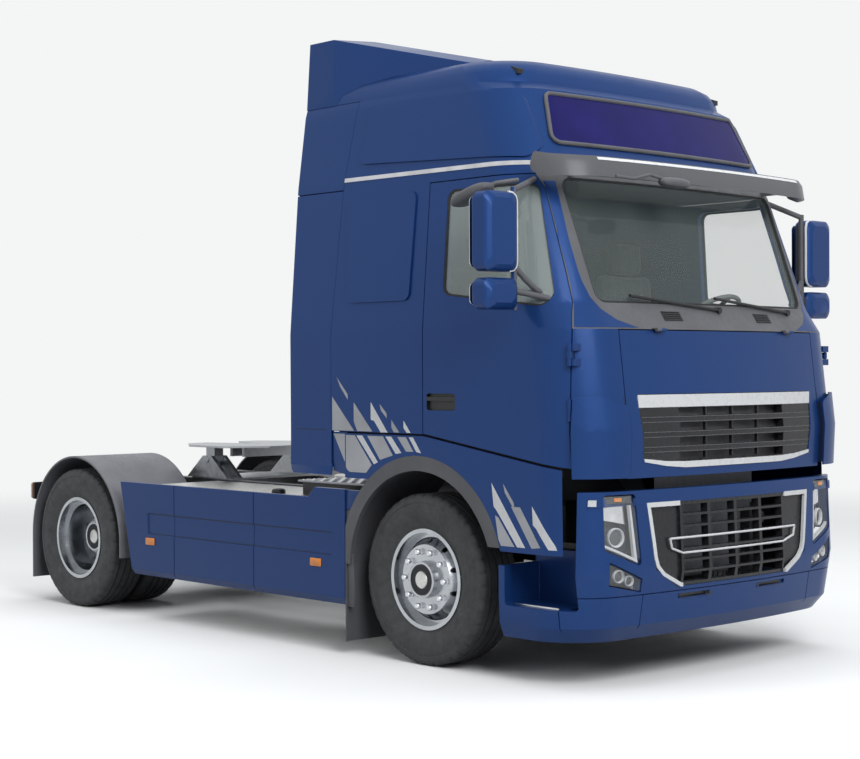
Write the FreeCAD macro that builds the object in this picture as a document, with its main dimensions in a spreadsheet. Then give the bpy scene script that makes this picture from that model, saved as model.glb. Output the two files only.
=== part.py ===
import FreeCAD, Part
import math
import os
import Sketcher

# A two-axle tractor unit with a high-roof sleeper cab over the engine.
# X points forward, Y to the vehicle's left and Z up. The origin is on the ground, in the middle of
# the overall length. Places along X are stated ahead of the front axle unless their name says otherwise.

SIZES = {
    # wheelbase and overhangs
    "wheelbase": 3700,
    "front_overhang": 1407,
    "rear_overhang": 730,
    # front outline seen from above: a large crown, rounded into the straight sides
    "cab_half_width": 1245,
    "crown_radius": 8200,
    "corner_radius": 340,
    "screen_bottom_half_width": 1234,
    "screen_top_half_width": 1178,
    "trim_half_width": 1172,
    "shoulder_half_width": 1108,
    "roof_top_half_width": 1092,
    "shell_wall": 60,
    "panel_gap": 6,
    "seam_width": 5,
    "seam_depth": 12,
    # heights of the bands of the bumper and lower front
    "bumper_bottom": 255,
    "bumper_lip": 338,
    "bumper_lip_half_width": 1238,
    "bumper_lip_front": 1360,
    "bumper_seam": 505,
    "bumper_seam_side": 781,
    "bumper_bottom_half_width": 1205,
    "bumper_crease": 488,
    "bumper_break": 620,
    "lower_front_top": 1078,
    "bumper_bottom_front": 1295,
    "bumper_crease_front": 1384,
    # heights and front places of the bands of the cab
    "cab_bottom": 1145,
    "cab_bottom_front": 1386,
    "lid_bulge_height": 1400,
    "lid_bulge_front": 1399,
    "belt_height": 1962,
    "belt_front": 1330,
    "screen_bottom": 2108,
    "screen_bottom_front": 1232,
    "screen_top": 2815,
    "screen_top_front": 981,
    "trim_height": 2888,
    "trim_front": 945,
    "roof_shoulder": 3345,
    "roof_shoulder_front": 731,
    "roof_height": 3545,
    "roof_front": 640,
    "roof_edge_radius": 150,
    # cab length and the lines that part its panels
    "cab_back": -860,
    "sill_height": 1368,
    "sill_front_height": 1202,
    "door_rear": 85,
    "door_front": 1196,
    "door_front_belt": 1172,
    "hinge_ahead": 1190,
    "hinge_side": 1192,
    "lower_hinge_height": 1500,
    "upper_hinge_height": 1800,
    "hinge_length": 40,
    "hinge_play": 2,
    "hinge_pin_radius": 8,
    "hinge_barrel_radius": 14,
    "hinge_web": 28,
    "hinge_web_depth": 60,
    "firewall_gap": 12,
    "firewall_wall": 25,
    "shelf_wall": 30,
    "corner_panel_bottom": 1165,
    "corner_panel_rear": 1199,
    "firewall_half_width": 980,
    "door_top": 2832,
    "door_top_front": 832,
    "pillar_knee_height": 2262,
    "pillar_knee": 1067,
    "pillar_top": 886,
    "pillar_top_height": 2753,
    # door window
    "window_rear": 240,
    "window_front": 1045,
    "window_sill_front": 1012,
    "window_knee_height": 2156,
    "window_front_top": 858,
    "window_bottom_rear": 2172,
    "window_bottom_front": 2084,
    "window_top": 2778,
    "window_corner": 60,
    "glass_thickness": 6,
    "glass_inset": 12,
    # windscreen
    "screen_half_width": 955,
    "screen_top_opening": 968,
    "screen_corner": 70,
    # front lid and its grille
    "lid_half_width": 893,
    "lid_hinge_side": 600,
    "lid_axis_ahead": 6,
    "lid_pin_radius": 5,
    "lid_barrel_radius": 10,
    "grille_half_width": 808,
    "grille_bottom_half_width": 775,
    "grille_top": 1603,
    "grille_bottom": 1240,
    "grille_flat_half_width": 446,
    "grille_sag": 48,
    "grille_corner": 20,
    "grille_header": 76,
    "grille_lip": 40,
    "slat_height": 34,
    "slat_count": 3,
    "mesh_half_width": 486,
    "mullion_width": 12,
    "mullion_setback": 30,
    "mullion_depth": 20,
    # lower front panel and grille
    "lower_grille_half_width": 749,
    "lower_grille_shoulder_half_width": 700,
    "lower_grille_shoulder": 640,
    "lower_grille_bottom_half_width": 500,
    "lower_grille_bottom": 532,
    "lower_grille_top": 1004,
    "lower_panel_recess": 22,
    "lower_mesh_edge": 20,
    "lower_mullion_width": 26,
    "lower_slat_height": 14,
    "lower_slat_count": 6,
    "tow_slot_inner": 235,
    "tow_slot_outer": 500,
    "tow_slot_height": 24,
    "tow_slot_depth": 30,
    # lamps in the bumper corners
    "lamp_inner_top": 838,
    "lamp_inner_bottom": 803,
    "lamp_outer": 1052,
    "lamp_top": 1060,
    "lamp_bottom_inner": 662,
    "lamp_bottom_outer": 762,
    "fog_inner": 800,
    "fog_outer": 1030,
    "fog_top_inner": 596,
    "fog_top_outer": 700,
    "fog_bottom_inner": 522,
    "fog_bottom_outer": 572,
    "corner_rear": 1215,
    # air deflectors that stand off the corner panels
    "corner_vane_gap": 24,
    "corner_vane_wall": 12,
    "corner_vane_rear": 1217,
    "corner_vane_inner": 905,
    "corner_vane_outer": 1300,
    "corner_vane_bottom": 1152,
    "corner_vane_top": 1592,
    "corner_vane_knee": 1080,
    "corner_vane_inner_top": 1540,
    "corner_vane_round": 40,
    "vane_rib_low": 1250,
    "vane_rib_high": 1470,
    "vane_rib_height": 14,
    "vane_rib_inner": 950,
    "vane_rib_outer": 1120,
    "vane_rib_root": 10,
    "vane_rib_tip": 28,
    # front wheel arch and fender
    "fender_front": 1190,
    "fender_wall": 32,
    "fender_bottom": 733,
    "fender_rear_bottom": 1085,
    "arch_radius": 700,
    "arch_centre_ahead": 40,
    "arch_centre_height": 540,
    "arch_opening_radius": 612,
    "liner_ahead": 22,
    "liner_radius": 630,
    "sill_gap": 12,
    "fender_front_top": 1190,
    "arch_end_height": 560,
    "arch_front_end": 750,
    "liner_wall": 6,
    "liner_inner": 640,
    "flap_thickness": 8,
    "flap_bottom": 85,
    "fairing_rear": -1142,
    # step box below the door
    "step_rear": 700,
    "step_split": 1118,
    "step_well_rear": 745,
    "step_top": 655,
    "step_height": 436,
    "step_depth": 300,
    "step_tread": 28,
    "step_bottom": 300,
    # side skirts
    "skirt_front": -620,
    "skirt_rear_top": -3092,
    "skirt_rear_bottom": -2942,
    "skirt_bottom": 304,
    "skirt_top": 951,
    "skirt_wall": 35,
    "skirt_band_bottom": 600,
    "skirt_band_top": 745,
    "skirt_band_rear": -2745,
    "skirt_band_front": -735,
    "skirt_band_depth": 7,
    "skirt_split_front": -1534,
    "skirt_split_rear": -2429,
    "skirt_tuck": 22,
    "skirt_tuck_height": 40,
    "skirt_step_rear": -975,
    "skirt_step_height": 62,
    # side deflectors behind the cab and deflector on the roof
    "fairing_front": -745,
    "fairing_trim_front": -697,
    "fairing_top_front": -637,
    "fairing_top": 3395,
    "fairing_bottom": 1090,
    "fairing_wall": 26,
    "fairing_split": 2843,
    "fairing_split_side": 1175,
    "fairing_rear_top": -1150,
    "deflector_foot_rear": -1150,
    "deflector_rear": -1112,
    "deflector_half_width": 1096,
    "deflector_side_height": 3811,
    "deflector_crown_half_width": 750,
    "deflector_height": 3841,
    "deflector_crest": -883,
    "deflector_front": 150,
    "deflector_nose_half_width": 880,
    "deflector_nose_side_height": 3556,
    "deflector_nose_crown_half_width": 740,
    "deflector_nose_height": 3590,
    "deflector_hollow_share": 0.5,
    # blank panels raised on the sides of the cab
    "panel_rise": 11,
    "upper_panel_rear_bottom": -568,
    "upper_panel_rear_bottom_height": 2998,
    "upper_panel_rear_top": -500,
    "upper_panel_rear_top_height": 3374,
    "upper_panel_front_top": 645,
    "upper_panel_front_top_height": 3318,
    "upper_panel_front_bottom": 842,
    "upper_panel_front_bottom_height": 2930,
    "upper_panel_round": 110,
    "lower_panel_rear_bottom": -590,
    "lower_panel_rear_top": -640,
    "lower_panel_front_top": -22,
    "lower_panel_front_bottom": -40,
    "lower_panel_bottom": 2150,
    "lower_panel_top": 2796,
    "side_panel_round": 50,
    # door handle in its recess
    "handle_rear": 118,
    "handle_front": 356,
    "handle_bottom": 1508,
    "handle_top": 1605,
    "handle_recess": 18,
    "handle_corner": 18,
    "handle_grip": 22,
    "handle_grip_drop": 20,
    # sun visor and sign panel
    "visor_half_width": 1200,
    "visor_top_half_width": 1188,
    "visor_rear": 905,
    "visor_knee": 1010,
    "visor_bottom_front": 1245,
    "visor_front": 1230,
    "visor_top_front": 1180,
    "visor_top": 2955,
    "visor_middle": 2880,
    "visor_bottom": 2797,
    "visor_rear_bottom": 2832,
    "visor_round": 40,
    "visor_wall": 10,
    "visor_reach": 200,
    "visor_foot": 900,
    "visor_foot_sink": 5,
    "sign_top": 3318,
    "sign_bottom": 3020,
    "sign_half_width_top": 858,
    "sign_half_width_bottom": 934,
    "sign_thickness": 8,
    "sign_corner": 40,
    # frame rails
    "frame_half_width": 425,
    "rail_height": 300,
    "rail_flange": 90,
    "rail_wall": 8,
    "cross_tube_end": 60,
    "cross_tube_spread": 410,
    "bracket_top": 900,
    "frame_top": 930,
    "rail_front": 1060,
    "cross_tube_radius": 55,
    # front tyres, rims and hubs
    "tyre_radius": 507,
    "tyre_half_width": 150,
    "tyre_tread_half_width": 128,
    "tyre_shoulder_drop": 22,
    "tyre_shoulder_in": 6,
    "tyre_bulge_radius": 400,
    "bead_radius": 284,
    "bead_half_width": 118,
    "tyre_wall": 22,
    "rim_flange_radius": 299,
    "rim_half_width": 127,
    "rim_wall": 9,
    "rim_well_radius": 255,
    "rim_well_half_width": 52,
    "front_tyre_centre": 1025,
    "rear_outer_tyre_centre": 1090,
    "twin_spacing": 343,
    "disc_thickness": 14,
    "disc_flat_radius": 205,
    "hand_hole_radius": 16,
    "hand_hole_circle": 224,
    "front_hub_inner": -40,
    "hub_taper": 20,
    "hub_cap_wall": 12,
    "front_disc_offset": 118,
    "nut_circle_diameter": 335,
    "nut_count": 10,
    "nut_radius": 16,
    "nut_length": 30,
    "hub_radius": 128,
    "front_hub_length": 26,
    "hub_bore_radius": 52,
    "spindle_clearance": 0.05,
    "rear_hub_radius": 132,
    "rear_hub_length": 150,
    # front axle, knuckles and tie rod
    "kingpin_half_track": 860,
    "kingpin_radius": 22,
    "kingpin_clearance": 0.05,
    "axle_boss_radius": 48,
    "axle_boss_height": 150,
    "axle_beam_height": 90,
    "axle_beam_width": 110,
    "beam_drop_half": 560,
    "steering_arm_inset": 60,
    "yoke_half_width": 60,
    "ball_pin_radius": 12,
    "axle_drop": 75,
    "yoke_gap": 6,
    "yoke_ear": 42,
    "knuckle_plate": 40,
    "steering_arm_length": 200,
    "steering_arm_thickness": 26,
    "tie_rod_radius": 22,
    "tie_bar_radius": 17,
    "tie_rod_eye": 34,
    "leaf_width": 90,
    "leaf_half_length": 850,
    "leaf_pack_height": 44,
    # rear axle and air springs
    "axle_tube_radius": 72,
    "differential_radius": 235,
    "differential_ahead": 60,
    "rear_tube_half": 700,
    "differential_half_width": 190,
    "air_beam_wall": 60,
    "bellows_radius": 135,
    "bellows_offset": 360,
    # engine, radiator, gearbox and propeller shaft
    "engine_length": 1450,
    "engine_rear": -520,
    "engine_width": 640,
    "engine_bottom": 560,
    "engine_top": 1325,
    "gearbox_length": 950,
    "gearbox_width": 460,
    "gearbox_height": 420,
    "gearbox_drop": 100,
    "engine_mount_height": 90,
    "differential_rise": 60,
    "propshaft_radius": 62,
    "radiator_front": 1165,
    "radiator_thickness": 90,
    "radiator_bottom": 560,
    "radiator_top": 1098,
    # fifth wheel
    "coupling_ahead_of_axle": 580,
    "coupling_height": 1182,
    "coupling_half_width": 500,
    "coupling_front": 450,
    "coupling_rear": 430,
    "coupling_plate": 14,
    "coupling_rim": 70,
    "coupling_slot": 46,
    "coupling_slot_mouth": 300,
    "coupling_nose_half": 220,
    "coupling_ear": 180,
    "coupling_ramp_outer": 330,
    "rib_half_width": 310,
    "pivot_boss_middle": 395,
    "pivot_boss_length": 80,
    "seat_gap": 2,
    "kingpin_bore_radius": 25.4,
    "kingpin_jaw_radius": 78,
    "kingpin_jaw_height": 40,
    "coupling_pivot_height": 1078,
    "coupling_pivot_radius": 24,
    "pedestal_thickness": 60,
    "pedestal_half_length": 250,
    "pedestal_cap_radius": 52,
    "mounting_plate": 14,
    # fuel tanks, catwalk, silencer and air tanks
    "tank_front": -700,
    "tank_rear": -2840,
    "tank_inner": 500,
    "tank_bottom": 340,
    "tank_top": 935,
    "tank_corner": 70,
    "tank_arm_width": 60,
    "catwalk_half_width": 430,
    "catwalk_front": -850,
    "catwalk_rear": -1245,
    "catwalk_height": 1000,
    "catwalk_thickness": 30,
    # rear fenders and lamps
    "rear_fender_radius": 604,
    "rear_fender_wall": 14,
    "guard_leg_bottom": 400,
    "guard_arm_radius": 22,
    "guard_arm_height": 700,
    "guard_bridge_reach": 500,
    "rear_fender_inner": 560,
    "rear_flap_bottom": 170,
    "rear_lamp_width": 300,
    "rear_lamp_height": 130,
    "rear_lamp_thickness": 60,
    "rear_lamp_centre_height": 820,
    "rear_lamp_outer": 1190,
    # cab inside
    "floor_thickness": 55,
    "tunnel_half_width": 330,
    "tunnel_height": 110,
    "floor_half_width": 940,
    "seat_width": 500,
    "seat_length": 520,
    "seat_height": 420,
    "seat_base_share": 0.33,
    "seat_back_height": 720,
    "seat_back_thickness": 140,
    "seat_ahead": 330,
    "seat_half_spacing": 640,
    "cushion_thickness": 150,
    "bunk_rear_gap": 12,
    "bunk_width": 700,
    "bunk_half_width": 1150,
    "bunk_bottom": 1560,
    "bunk_thickness": 160,
    "dash_rear": 780,
    "dash_top": 2085,
    "dash_bottom": 1700,
    "dash_undercut": 90,
    "dash_half_width": 1000,
    "steering_wheel_radius": 225,
    "steering_wheel_grip": 15,
    "steering_wheel_ahead": 690,
    "steering_wheel_height": 2060,
    "column_radius": 30,
    "column_length": 300,
    "column_clearance": 0.5,
    "column_tilt": 35,
    # mirrors
    "mirror_inner": 1345,
    "mirror_outer": 1600,
    "mirror_ahead": 915,
    "mirror_depth": 120,
    "mirror_nose_step": 14,
    "mirror_nose_inset": 12,
    "mirror_bottom": 2270,
    "mirror_top": 2700,
    "mirror_corner": 45,
    "lower_mirror_bottom": 2065,
    "lower_mirror_top": 2235,
    "arm_radius": 17,
    "arm_top_ahead": 820,
    "arm_low_ahead": 1075,
    "arm_root_side": 1060,
    "arm_low_height": 2105,
    "arm_root_height": 2170,
    "arm_top_height": 2806,
    # wipers, roof marker lamps
    "wiper_length": 720,
    "wiper_radius": 9,
    "wiper_pivot_left": 730,
    "wiper_pivot_right": 10,
    "wiper_height": 2080,
    "wiper_tip_height": 2150,
    "marker_length": 90,
    "marker_width": 46,
    "marker_height": 60,
    "marker_bottom": 3440,
    "marker_half_spacing": 905,
    "marker_ahead": 560,
    # tolerance between faces that seat, and overrun of the cutting bodies
    "seat_clearance": 0.3,
    "overrun": 60,
    "reach": 4000,
    "front_depth": 500,
    "screen_depth": 1000,
    "cab_pivot_ahead": 1200,
    "cab_pivot_height": 850,
    "cab_pivot_radius": 28,
    "cab_arm_wall": 50,
    "cab_arm_top_ahead": 765,
    "cab_arm_width": 90,
    "post_width": 70,
    "bracket_ahead": 1240,
    "beam_bottom": 400,
    "beam_top": 520,
    "beam_reach": 1322,
}

document = FreeCAD.newDocument("TractorUnit")
sheet = document.addObject("Spreadsheet::Sheet", "Sizes")
for row, (alias, value) in enumerate(SIZES.items(), start=1):
    sheet.set(f"A{row}", alias)
    sheet.set(f"B{row}", str(value))
    sheet.setAlias(f"B{row}", alias)
document.recompute()


class Size:
    """A length that carries its formula over the sheet's cells together with its value."""

    def __init__(self, text, value):
        self.text = text
        self.value = float(value)

    def joined(self, sign, other, value):
        return Size(f"({self.text} {sign} {other.text})", value)

    def __add__(self, other):
        other = as_size(other)
        return self.joined("+", other, self.value + other.value)

    def __sub__(self, other):
        other = as_size(other)
        return self.joined("-", other, self.value - other.value)

    def __mul__(self, other):
        other = as_size(other)
        return self.joined("*", other, self.value * other.value)

    def __truediv__(self, other):
        other = as_size(other)
        return self.joined("/", other, self.value / other.value)

    def __radd__(self, other):
        return as_size(other) + self

    def __rsub__(self, other):
        return as_size(other) - self

    def __rmul__(self, other):
        return as_size(other) * self

    def __neg__(self):
        return Size(f"(-{self.text})", -self.value)

    def __float__(self):
        return self.value

    def __lt__(self, other):
        return self.value < float(other)


def as_size(value):
    return value if isinstance(value, Size) else Size(repr(float(value)), value)


class SheetSizes:
    """Reads a cell of the sheet by its alias."""

    def __getattr__(self, alias):
        return Size(f"Sizes.{alias}", sheet.get(alias))


S = SheetSizes()
VECTOR = FreeCAD.Vector
AXES = {"x": VECTOR(1, 0, 0), "y": VECTOR(0, 1, 0), "z": VECTOR(0, 0, 1)}
TURNS = {
    "x": FreeCAD.Rotation(AXES["y"], 90),
    "y": FreeCAD.Rotation(AXES["x"], -90),
    "z": FreeCAD.Rotation(),
}
# Each drawing plane: the turn that lays a sketch on it, and the axis square to it.
PLANES = {
    "side": (FreeCAD.Rotation(AXES["x"], 90), "y"),
    "plan": (FreeCAD.Rotation(), "z"),
    "front": (FreeCAD.Rotation(AXES["y"], AXES["z"], AXES["x"], "XYZ"), "x"),
}

overall_length = S.front_overhang + S.wheelbase + S.rear_overhang
front_axle = overall_length / 2 - S.front_overhang
rear_axle = front_axle - S.wheelbase
LEFT, RIGHT = 1, -1
HALF = 0.5
TOUCHING = 0.000001


def ahead(place):
    """Place along X of something whose distance ahead of the front axle is given."""
    return front_axle + place


def bind(piece, **formulas):
    """Ties properties of a piece to the sheet."""
    for name, length in formulas.items():
        piece.setExpression(name, as_size(length).text)


def place(piece, x=0, y=0, z=0, turn=FreeCAD.Rotation()):
    piece.Placement = FreeCAD.Placement(VECTOR(float(x), float(y), float(z)), turn)
    for axis, length in (("x", x), ("y", y), ("z", z)):
        piece.setExpression(f"Placement.Base.{axis}", as_size(length).text)
    return piece


def box(name, x, y, z):
    """Box between a pair of places along each axis."""
    piece = document.addObject("Part::Box", name)
    bind(piece, Length=x[1] - x[0], Width=y[1] - y[0], Height=z[1] - z[0])
    return place(piece, x[0], y[0], z[0])


def rod(name, axis, radius, span, x=0, y=0, z=0):
    """Cylinder along an axis between two places on it."""
    piece = document.addObject("Part::Cylinder", name)
    bind(piece, Radius=radius, Height=span[1] - span[0])
    start = {"x": x, "y": y, "z": z}
    start[axis] = span[0]
    return place(piece, start["x"], start["y"], start["z"], TURNS[axis])


def fused(name, pieces):
    piece = document.addObject("Part::MultiFuse", name)
    piece.Shapes = pieces
    return piece


def cut(name, base, tool):
    piece = document.addObject("Part::Cut", name)
    piece.Base = base
    piece.Tool = tool
    return piece


def shared(name, first, second):
    """What two solids have in common."""
    piece = document.addObject("Part::Common", name)
    piece.Base = first
    piece.Tool = second
    return piece


def mirrored(name, source):
    """Copy of a piece on the other side of the vehicle."""
    piece = document.addObject("Part::Mirroring", name)
    piece.Source = source
    piece.Normal = AXES["y"]
    return piece


def group(name, pieces):
    """Like pieces of one sub-part that don't touch."""
    piece = document.addObject("Part::Compound", name)
    piece.Links = pieces
    return piece


def pair(name, source):
    return group(name, [source, mirrored(name + "Other", source)])


def shaped(name, shape):
    """Feature whose shape is worked out from the sheet by geometry functions."""
    piece = document.addObject("Part::Feature", name)
    piece.Shape = shape
    piece.Placement = FreeCAD.Placement()
    return piece


def rounded_corner(before, corner, after, radius):
    """Start, middle, end and centre of the arc that rounds a corner of an outline."""
    towards_before = (before - corner).normalize()
    towards_after = (after - corner).normalize()
    half_turn = towards_before.getAngle(towards_after) / 2
    reach = radius / math.tan(half_turn)
    inward = (towards_before + towards_after).normalize()
    centre = corner + inward * (radius / math.sin(half_turn))
    middle = centre - inward * radius
    return corner + towards_before * reach, middle, corner + towards_after * reach, centre


def outline_edges(corners):
    """Lines and arcs of a closed outline; a corner's third number rounds it."""
    points = [VECTOR(float(corner[0]), float(corner[1]), 0) for corner in corners]
    pieces = []
    for index, corner in enumerate(corners):
        if len(corner) == 3:
            before, after = points[index - 1], points[(index + 1) % len(points)]
            pieces.append(rounded_corner(before, points[index], after, float(corner[2]))[:3])
        else:
            pieces.append((points[index],))
    edges = []
    for index, here in enumerate(pieces):
        if len(here) == 3:
            edges.append(Part.Arc(*here).toShape())
        following = pieces[(index + 1) % len(pieces)]
        if here[-1].distanceToPoint(following[0]) > TOUCHING:
            edges.append(Part.LineSegment(here[-1], following[0]).toShape())
    return edges


def drawing(name, corners, holder=None):
    """Sketch of a closed outline of straight lines whose corners are tied to the sheet."""
    make = holder.newObject if holder else document.addObject
    sketch = make("Sketcher::SketchObject", name)
    count = len(corners)
    for index in range(count):
        here, following = corners[index], corners[(index + 1) % count]
        sketch.addGeometry(Part.LineSegment(
            VECTOR(float(here[0]), float(here[1]), 0),
            VECTOR(float(following[0]), float(following[1]), 0)), False)
    for index, corner in enumerate(corners):
        sketch.addConstraint(Sketcher.Constraint(
            "Coincident", index, 2, (index + 1) % count, 1))
        for kind, length in (("DistanceX", corner[0]), ("DistanceY", corner[1])):
            tie = sketch.addConstraint(
                Sketcher.Constraint(kind, -1, 1, index, 1, float(length)))
            sketch.setExpression(f"Constraints[{tie}]", as_size(length).text)
    return sketch


def prism(name, plane, corners, span):
    """Outline drawn on a plane and carried square to it between two places."""
    turn, axis = PLANES[plane]
    if any(len(corner) == 3 for corner in corners):
        base = shaped(name + "Outline", Part.Face(Part.Wire(outline_edges(corners))))
    else:
        base = drawing(name + "Outline", corners)
    start = {"x": 0, "y": 0, "z": 0}
    start[axis] = span[0]
    place(base, start["x"], start["y"], start["z"], turn)
    piece = document.addObject("Part::Extrusion", name)
    piece.Base = base
    piece.DirMode = "Custom"
    piece.Dir = AXES[axis]
    piece.Solid = True
    bind(piece, LengthFwd=span[1] - span[0])
    return piece


def revolved(name, corners, axis="y", x=0, y=0, z=0):
    """Body turned about an axis; corners are pairs of place along the axis and radius."""
    body = document.addObject("PartDesign::Body", name)
    sketch = drawing(name + "Section", corners, body)
    origin = next(item for item in body.Origin.OriginFeatures if item.Role == "XY_Plane")
    sketch.AttachmentSupport = (origin, "")
    sketch.MapMode = "FlatFace"
    turned = body.newObject("PartDesign::Revolution", name + "Turned")
    turned.Profile = sketch
    turned.ReferenceAxis = (sketch, ["H_Axis"])
    turned.Angle = 360
    body.Tip = turned
    turns = {
        "x": FreeCAD.Rotation(),
        "y": FreeCAD.Rotation(AXES["z"], 90),
        "z": FreeCAD.Rotation(AXES["y"], -90),
    }
    return place(body, x, y, z, turns[axis])


NODES = {}


def node(name, piece):
    """Registers a finished sub-part under the name of its file."""
    piece.Label = name
    NODES[name] = piece
    return piece


# Plan sections of the cab: straight sides, a rounded corner and a crowned front.
def corner_centre(half_width, front):
    flat = S.crown_radius - S.corner_radius
    side = half_width - S.corner_radius
    return front - S.crown_radius + math.sqrt(float(flat) ** 2 - float(side) ** 2)


def plan_section(height, half_width, front, back, inset=0):
    """Wire of the outline at a height, set in by a wall."""
    w, r, crown = float(half_width - inset), float(S.corner_radius - inset), float(S.crown_radius - inset)
    centre_x = float(corner_centre(half_width, front))
    centre_y = w - r
    crown_x = float(front - S.crown_radius)
    reach = math.hypot(centre_x - crown_x, centre_y)
    touch = VECTOR(crown_x + (centre_x - crown_x) * crown / reach, centre_y * crown / reach, float(height))
    to_touch = (touch - VECTOR(centre_x, centre_y, float(height))).normalize()
    middle = (to_touch + AXES["y"]).normalize() * r + VECTOR(centre_x, centre_y, float(height))
    side = VECTOR(centre_x, w, float(height))
    rear = VECTOR(float(back + inset), w, float(height))
    nose = VECTOR(crown_x + crown, 0, float(height))

    def over(point):
        return VECTOR(point.x, -point.y, point.z)

    edges = [
        Part.LineSegment(rear, side),
        Part.Arc(side, middle, touch),
        Part.Arc(touch, nose, over(touch)),
        Part.Arc(over(touch), over(middle), over(side)),
        Part.LineSegment(over(side), over(rear)),
        Part.LineSegment(over(rear), rear),
    ]
    return Part.Wire([edge.toShape() for edge in edges])


cab_back = ahead(S.cab_back)
CAB_LEVELS = [
    (S.cab_bottom, S.cab_half_width, ahead(S.cab_bottom_front)),
    (S.lid_bulge_height, S.cab_half_width, ahead(S.lid_bulge_front)),
    (S.belt_height, S.cab_half_width, ahead(S.belt_front)),
    (S.screen_bottom, S.screen_bottom_half_width, ahead(S.screen_bottom_front)),
    (S.screen_top, S.screen_top_half_width, ahead(S.screen_top_front)),
    (S.trim_height, S.trim_half_width, ahead(S.trim_front)),
    (S.roof_shoulder, S.shoulder_half_width, ahead(S.roof_shoulder_front)),
]


def cab_solid(name, inset=0, back=cab_back, roof_inset=0, drop=0):
    """Loft through the cab's levels, with a rounded roof edge, set in by a wall."""
    lowest, highest = CAB_LEVELS[0], CAB_LEVELS[-1]
    levels = [(lowest[0] - drop, *lowest[1:]), *CAB_LEVELS[1:-1], (highest[0] - roof_inset, *highest[1:])]
    sections = [plan_section(height, width, front, back, inset) for height, width, front in levels]
    rounding_steps = 4
    for step in range(rounding_steps + 1):
        turn = math.pi / 2 * step / rounding_steps
        rise = S.roof_edge_radius * math.sin(turn)
        draw_in = S.roof_edge_radius * (1 - math.cos(turn))
        sections.append(plan_section(
            S.roof_height - roof_inset - S.roof_edge_radius + rise,
            S.roof_top_half_width - draw_in, ahead(S.roof_front) - draw_in, back, inset))
    return shaped(name, Part.makeLoft(sections, True, True))


def grown(corners, gap):
    """Outline moved outward by a gap, or inward by a negative one, its roundings kept."""
    points = [(float(corner[0]), float(corner[1])) for corner in corners]
    count = len(points)
    area = sum(points[i - 1][0] * points[i][1] - points[i][0] * points[i - 1][1] for i in range(count))
    outward = 1 if area > 0 else -1
    moved = []
    for i, (x, y) in enumerate(points):
        before, after = points[i - 1], points[(i + 1) % count]
        first = VECTOR(x - before[0], y - before[1], 0).normalize()
        second = VECTOR(after[0] - x, after[1] - y, 0).normalize()
        normal_first = VECTOR(first.y, -first.x, 0) * outward
        normal_second = VECTOR(second.y, -second.x, 0) * outward
        middle = (normal_first + normal_second).normalize()
        reach = float(gap) / middle.dot(normal_first)
        moved.append((x + middle.x * reach, y + middle.y * reach, *corners[i][2:]))
    return moved


def skin_front(side, height):
    """Place along X of the cab's front skin at a distance from the middle and a height."""
    for lower, upper in zip(CAB_LEVELS, CAB_LEVELS[1:]):
        if float(height) <= float(upper[0]):
            share = (height - lower[0]) / (upper[0] - lower[0])
            front = lower[2] + (upper[2] - lower[2]) * share
            return front - side * side / (S.crown_radius * 2)


def bar(name, start, end, radius):
    """Round bar between two points."""
    first, last = (VECTOR(*(float(length) for length in point)) for point in (start, end))
    return shaped(name, Part.makeCylinder(float(radius), (last - first).Length, first, last - first))


# Cab shell: outer skin less the hollow, then parted where the real panels meet.
wide = (-S.cab_half_width - S.overrun, S.cab_half_width + S.overrun)
left_half = (S.overrun, S.cab_half_width + S.overrun)
cab_outer = cab_solid("CabOuter")
cab_hollow = cab_solid("CabHollow", S.shell_wall, cab_back, S.shell_wall, S.overrun)
shell = cut("CabShell", cab_outer, cab_hollow)
door_line = [
    (ahead(S.door_front), S.sill_front_height),
    (ahead(S.door_front_belt), S.belt_height),
    (ahead(S.pillar_knee), S.pillar_knee_height),
    (ahead(S.pillar_top), S.pillar_top_height),
    (ahead(S.door_top_front), S.door_top),
]
door_outline = door_line + [
    (ahead(S.door_rear), S.door_top), (ahead(S.door_rear), S.sill_height)]
far_front = ahead(S.front_overhang) + S.overrun
side_zone = prism("SideZone", "side", [
    (cab_back + S.shell_wall, S.sill_height), (ahead(S.door_rear), S.sill_height), *door_line,
    (ahead(S.door_top_front), S.trim_height), (cab_back + S.shell_wall, S.trim_height)], wide)
half_gap = S.panel_gap / 2
door_opening = prism("DoorOpening", "side", grown(door_outline, half_gap), wide)
sides_shell = shared("SidesShell", shell, side_zone)
fairing_outline = [
    (ahead(S.fairing_front), S.fairing_bottom),
    (ahead(S.fairing_front), S.belt_height),
    (ahead(S.fairing_trim_front), S.trim_height),
    (ahead(S.fairing_top_front), S.fairing_top),
    (ahead(S.fairing_rear_top), S.fairing_top),
    (ahead(S.fairing_rear), S.fairing_bottom)]
tail = ahead(S.fairing_rear) - S.overrun
long_outer = cab_solid("LongOuter", 0, tail)
long_recess = cab_solid("LongRecess", S.fairing_wall + S.seat_clearance, tail - S.overrun, 0, S.overrun)
long_inner = cab_solid("LongInner", S.fairing_wall, tail - S.overrun, 0, S.overrun)
recess_skin = cut("RecessSkin", cab_solid("RecessOuter", -S.seat_clearance, tail, 0, S.overrun), long_recess)
recess = shared("FairingRecess", recess_skin, prism(
    "RecessZone", "side", grown(fairing_outline, half_gap), wide))
fairings = shared("Fairings", cut("FairingSkin", long_outer, long_inner), prism(
    "FairingZone", "side", fairing_outline, wide))
fairing_seam = box("FairingSeam", (tail, cab_back + S.reach), (S.fairing_split_side - S.seam_depth, wide[1]),
                   (S.fairing_split, S.fairing_split + S.seam_width))
node("side_fairings", cut("SideFairings", fairings, fused(
    "FairingSeams", [fairing_seam, mirrored("FairingSeamRight", fairing_seam)])))
raised_form = cut("RaisedForm", cab_solid("RaisedOuter", -S.panel_rise), cab_hollow)
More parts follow.
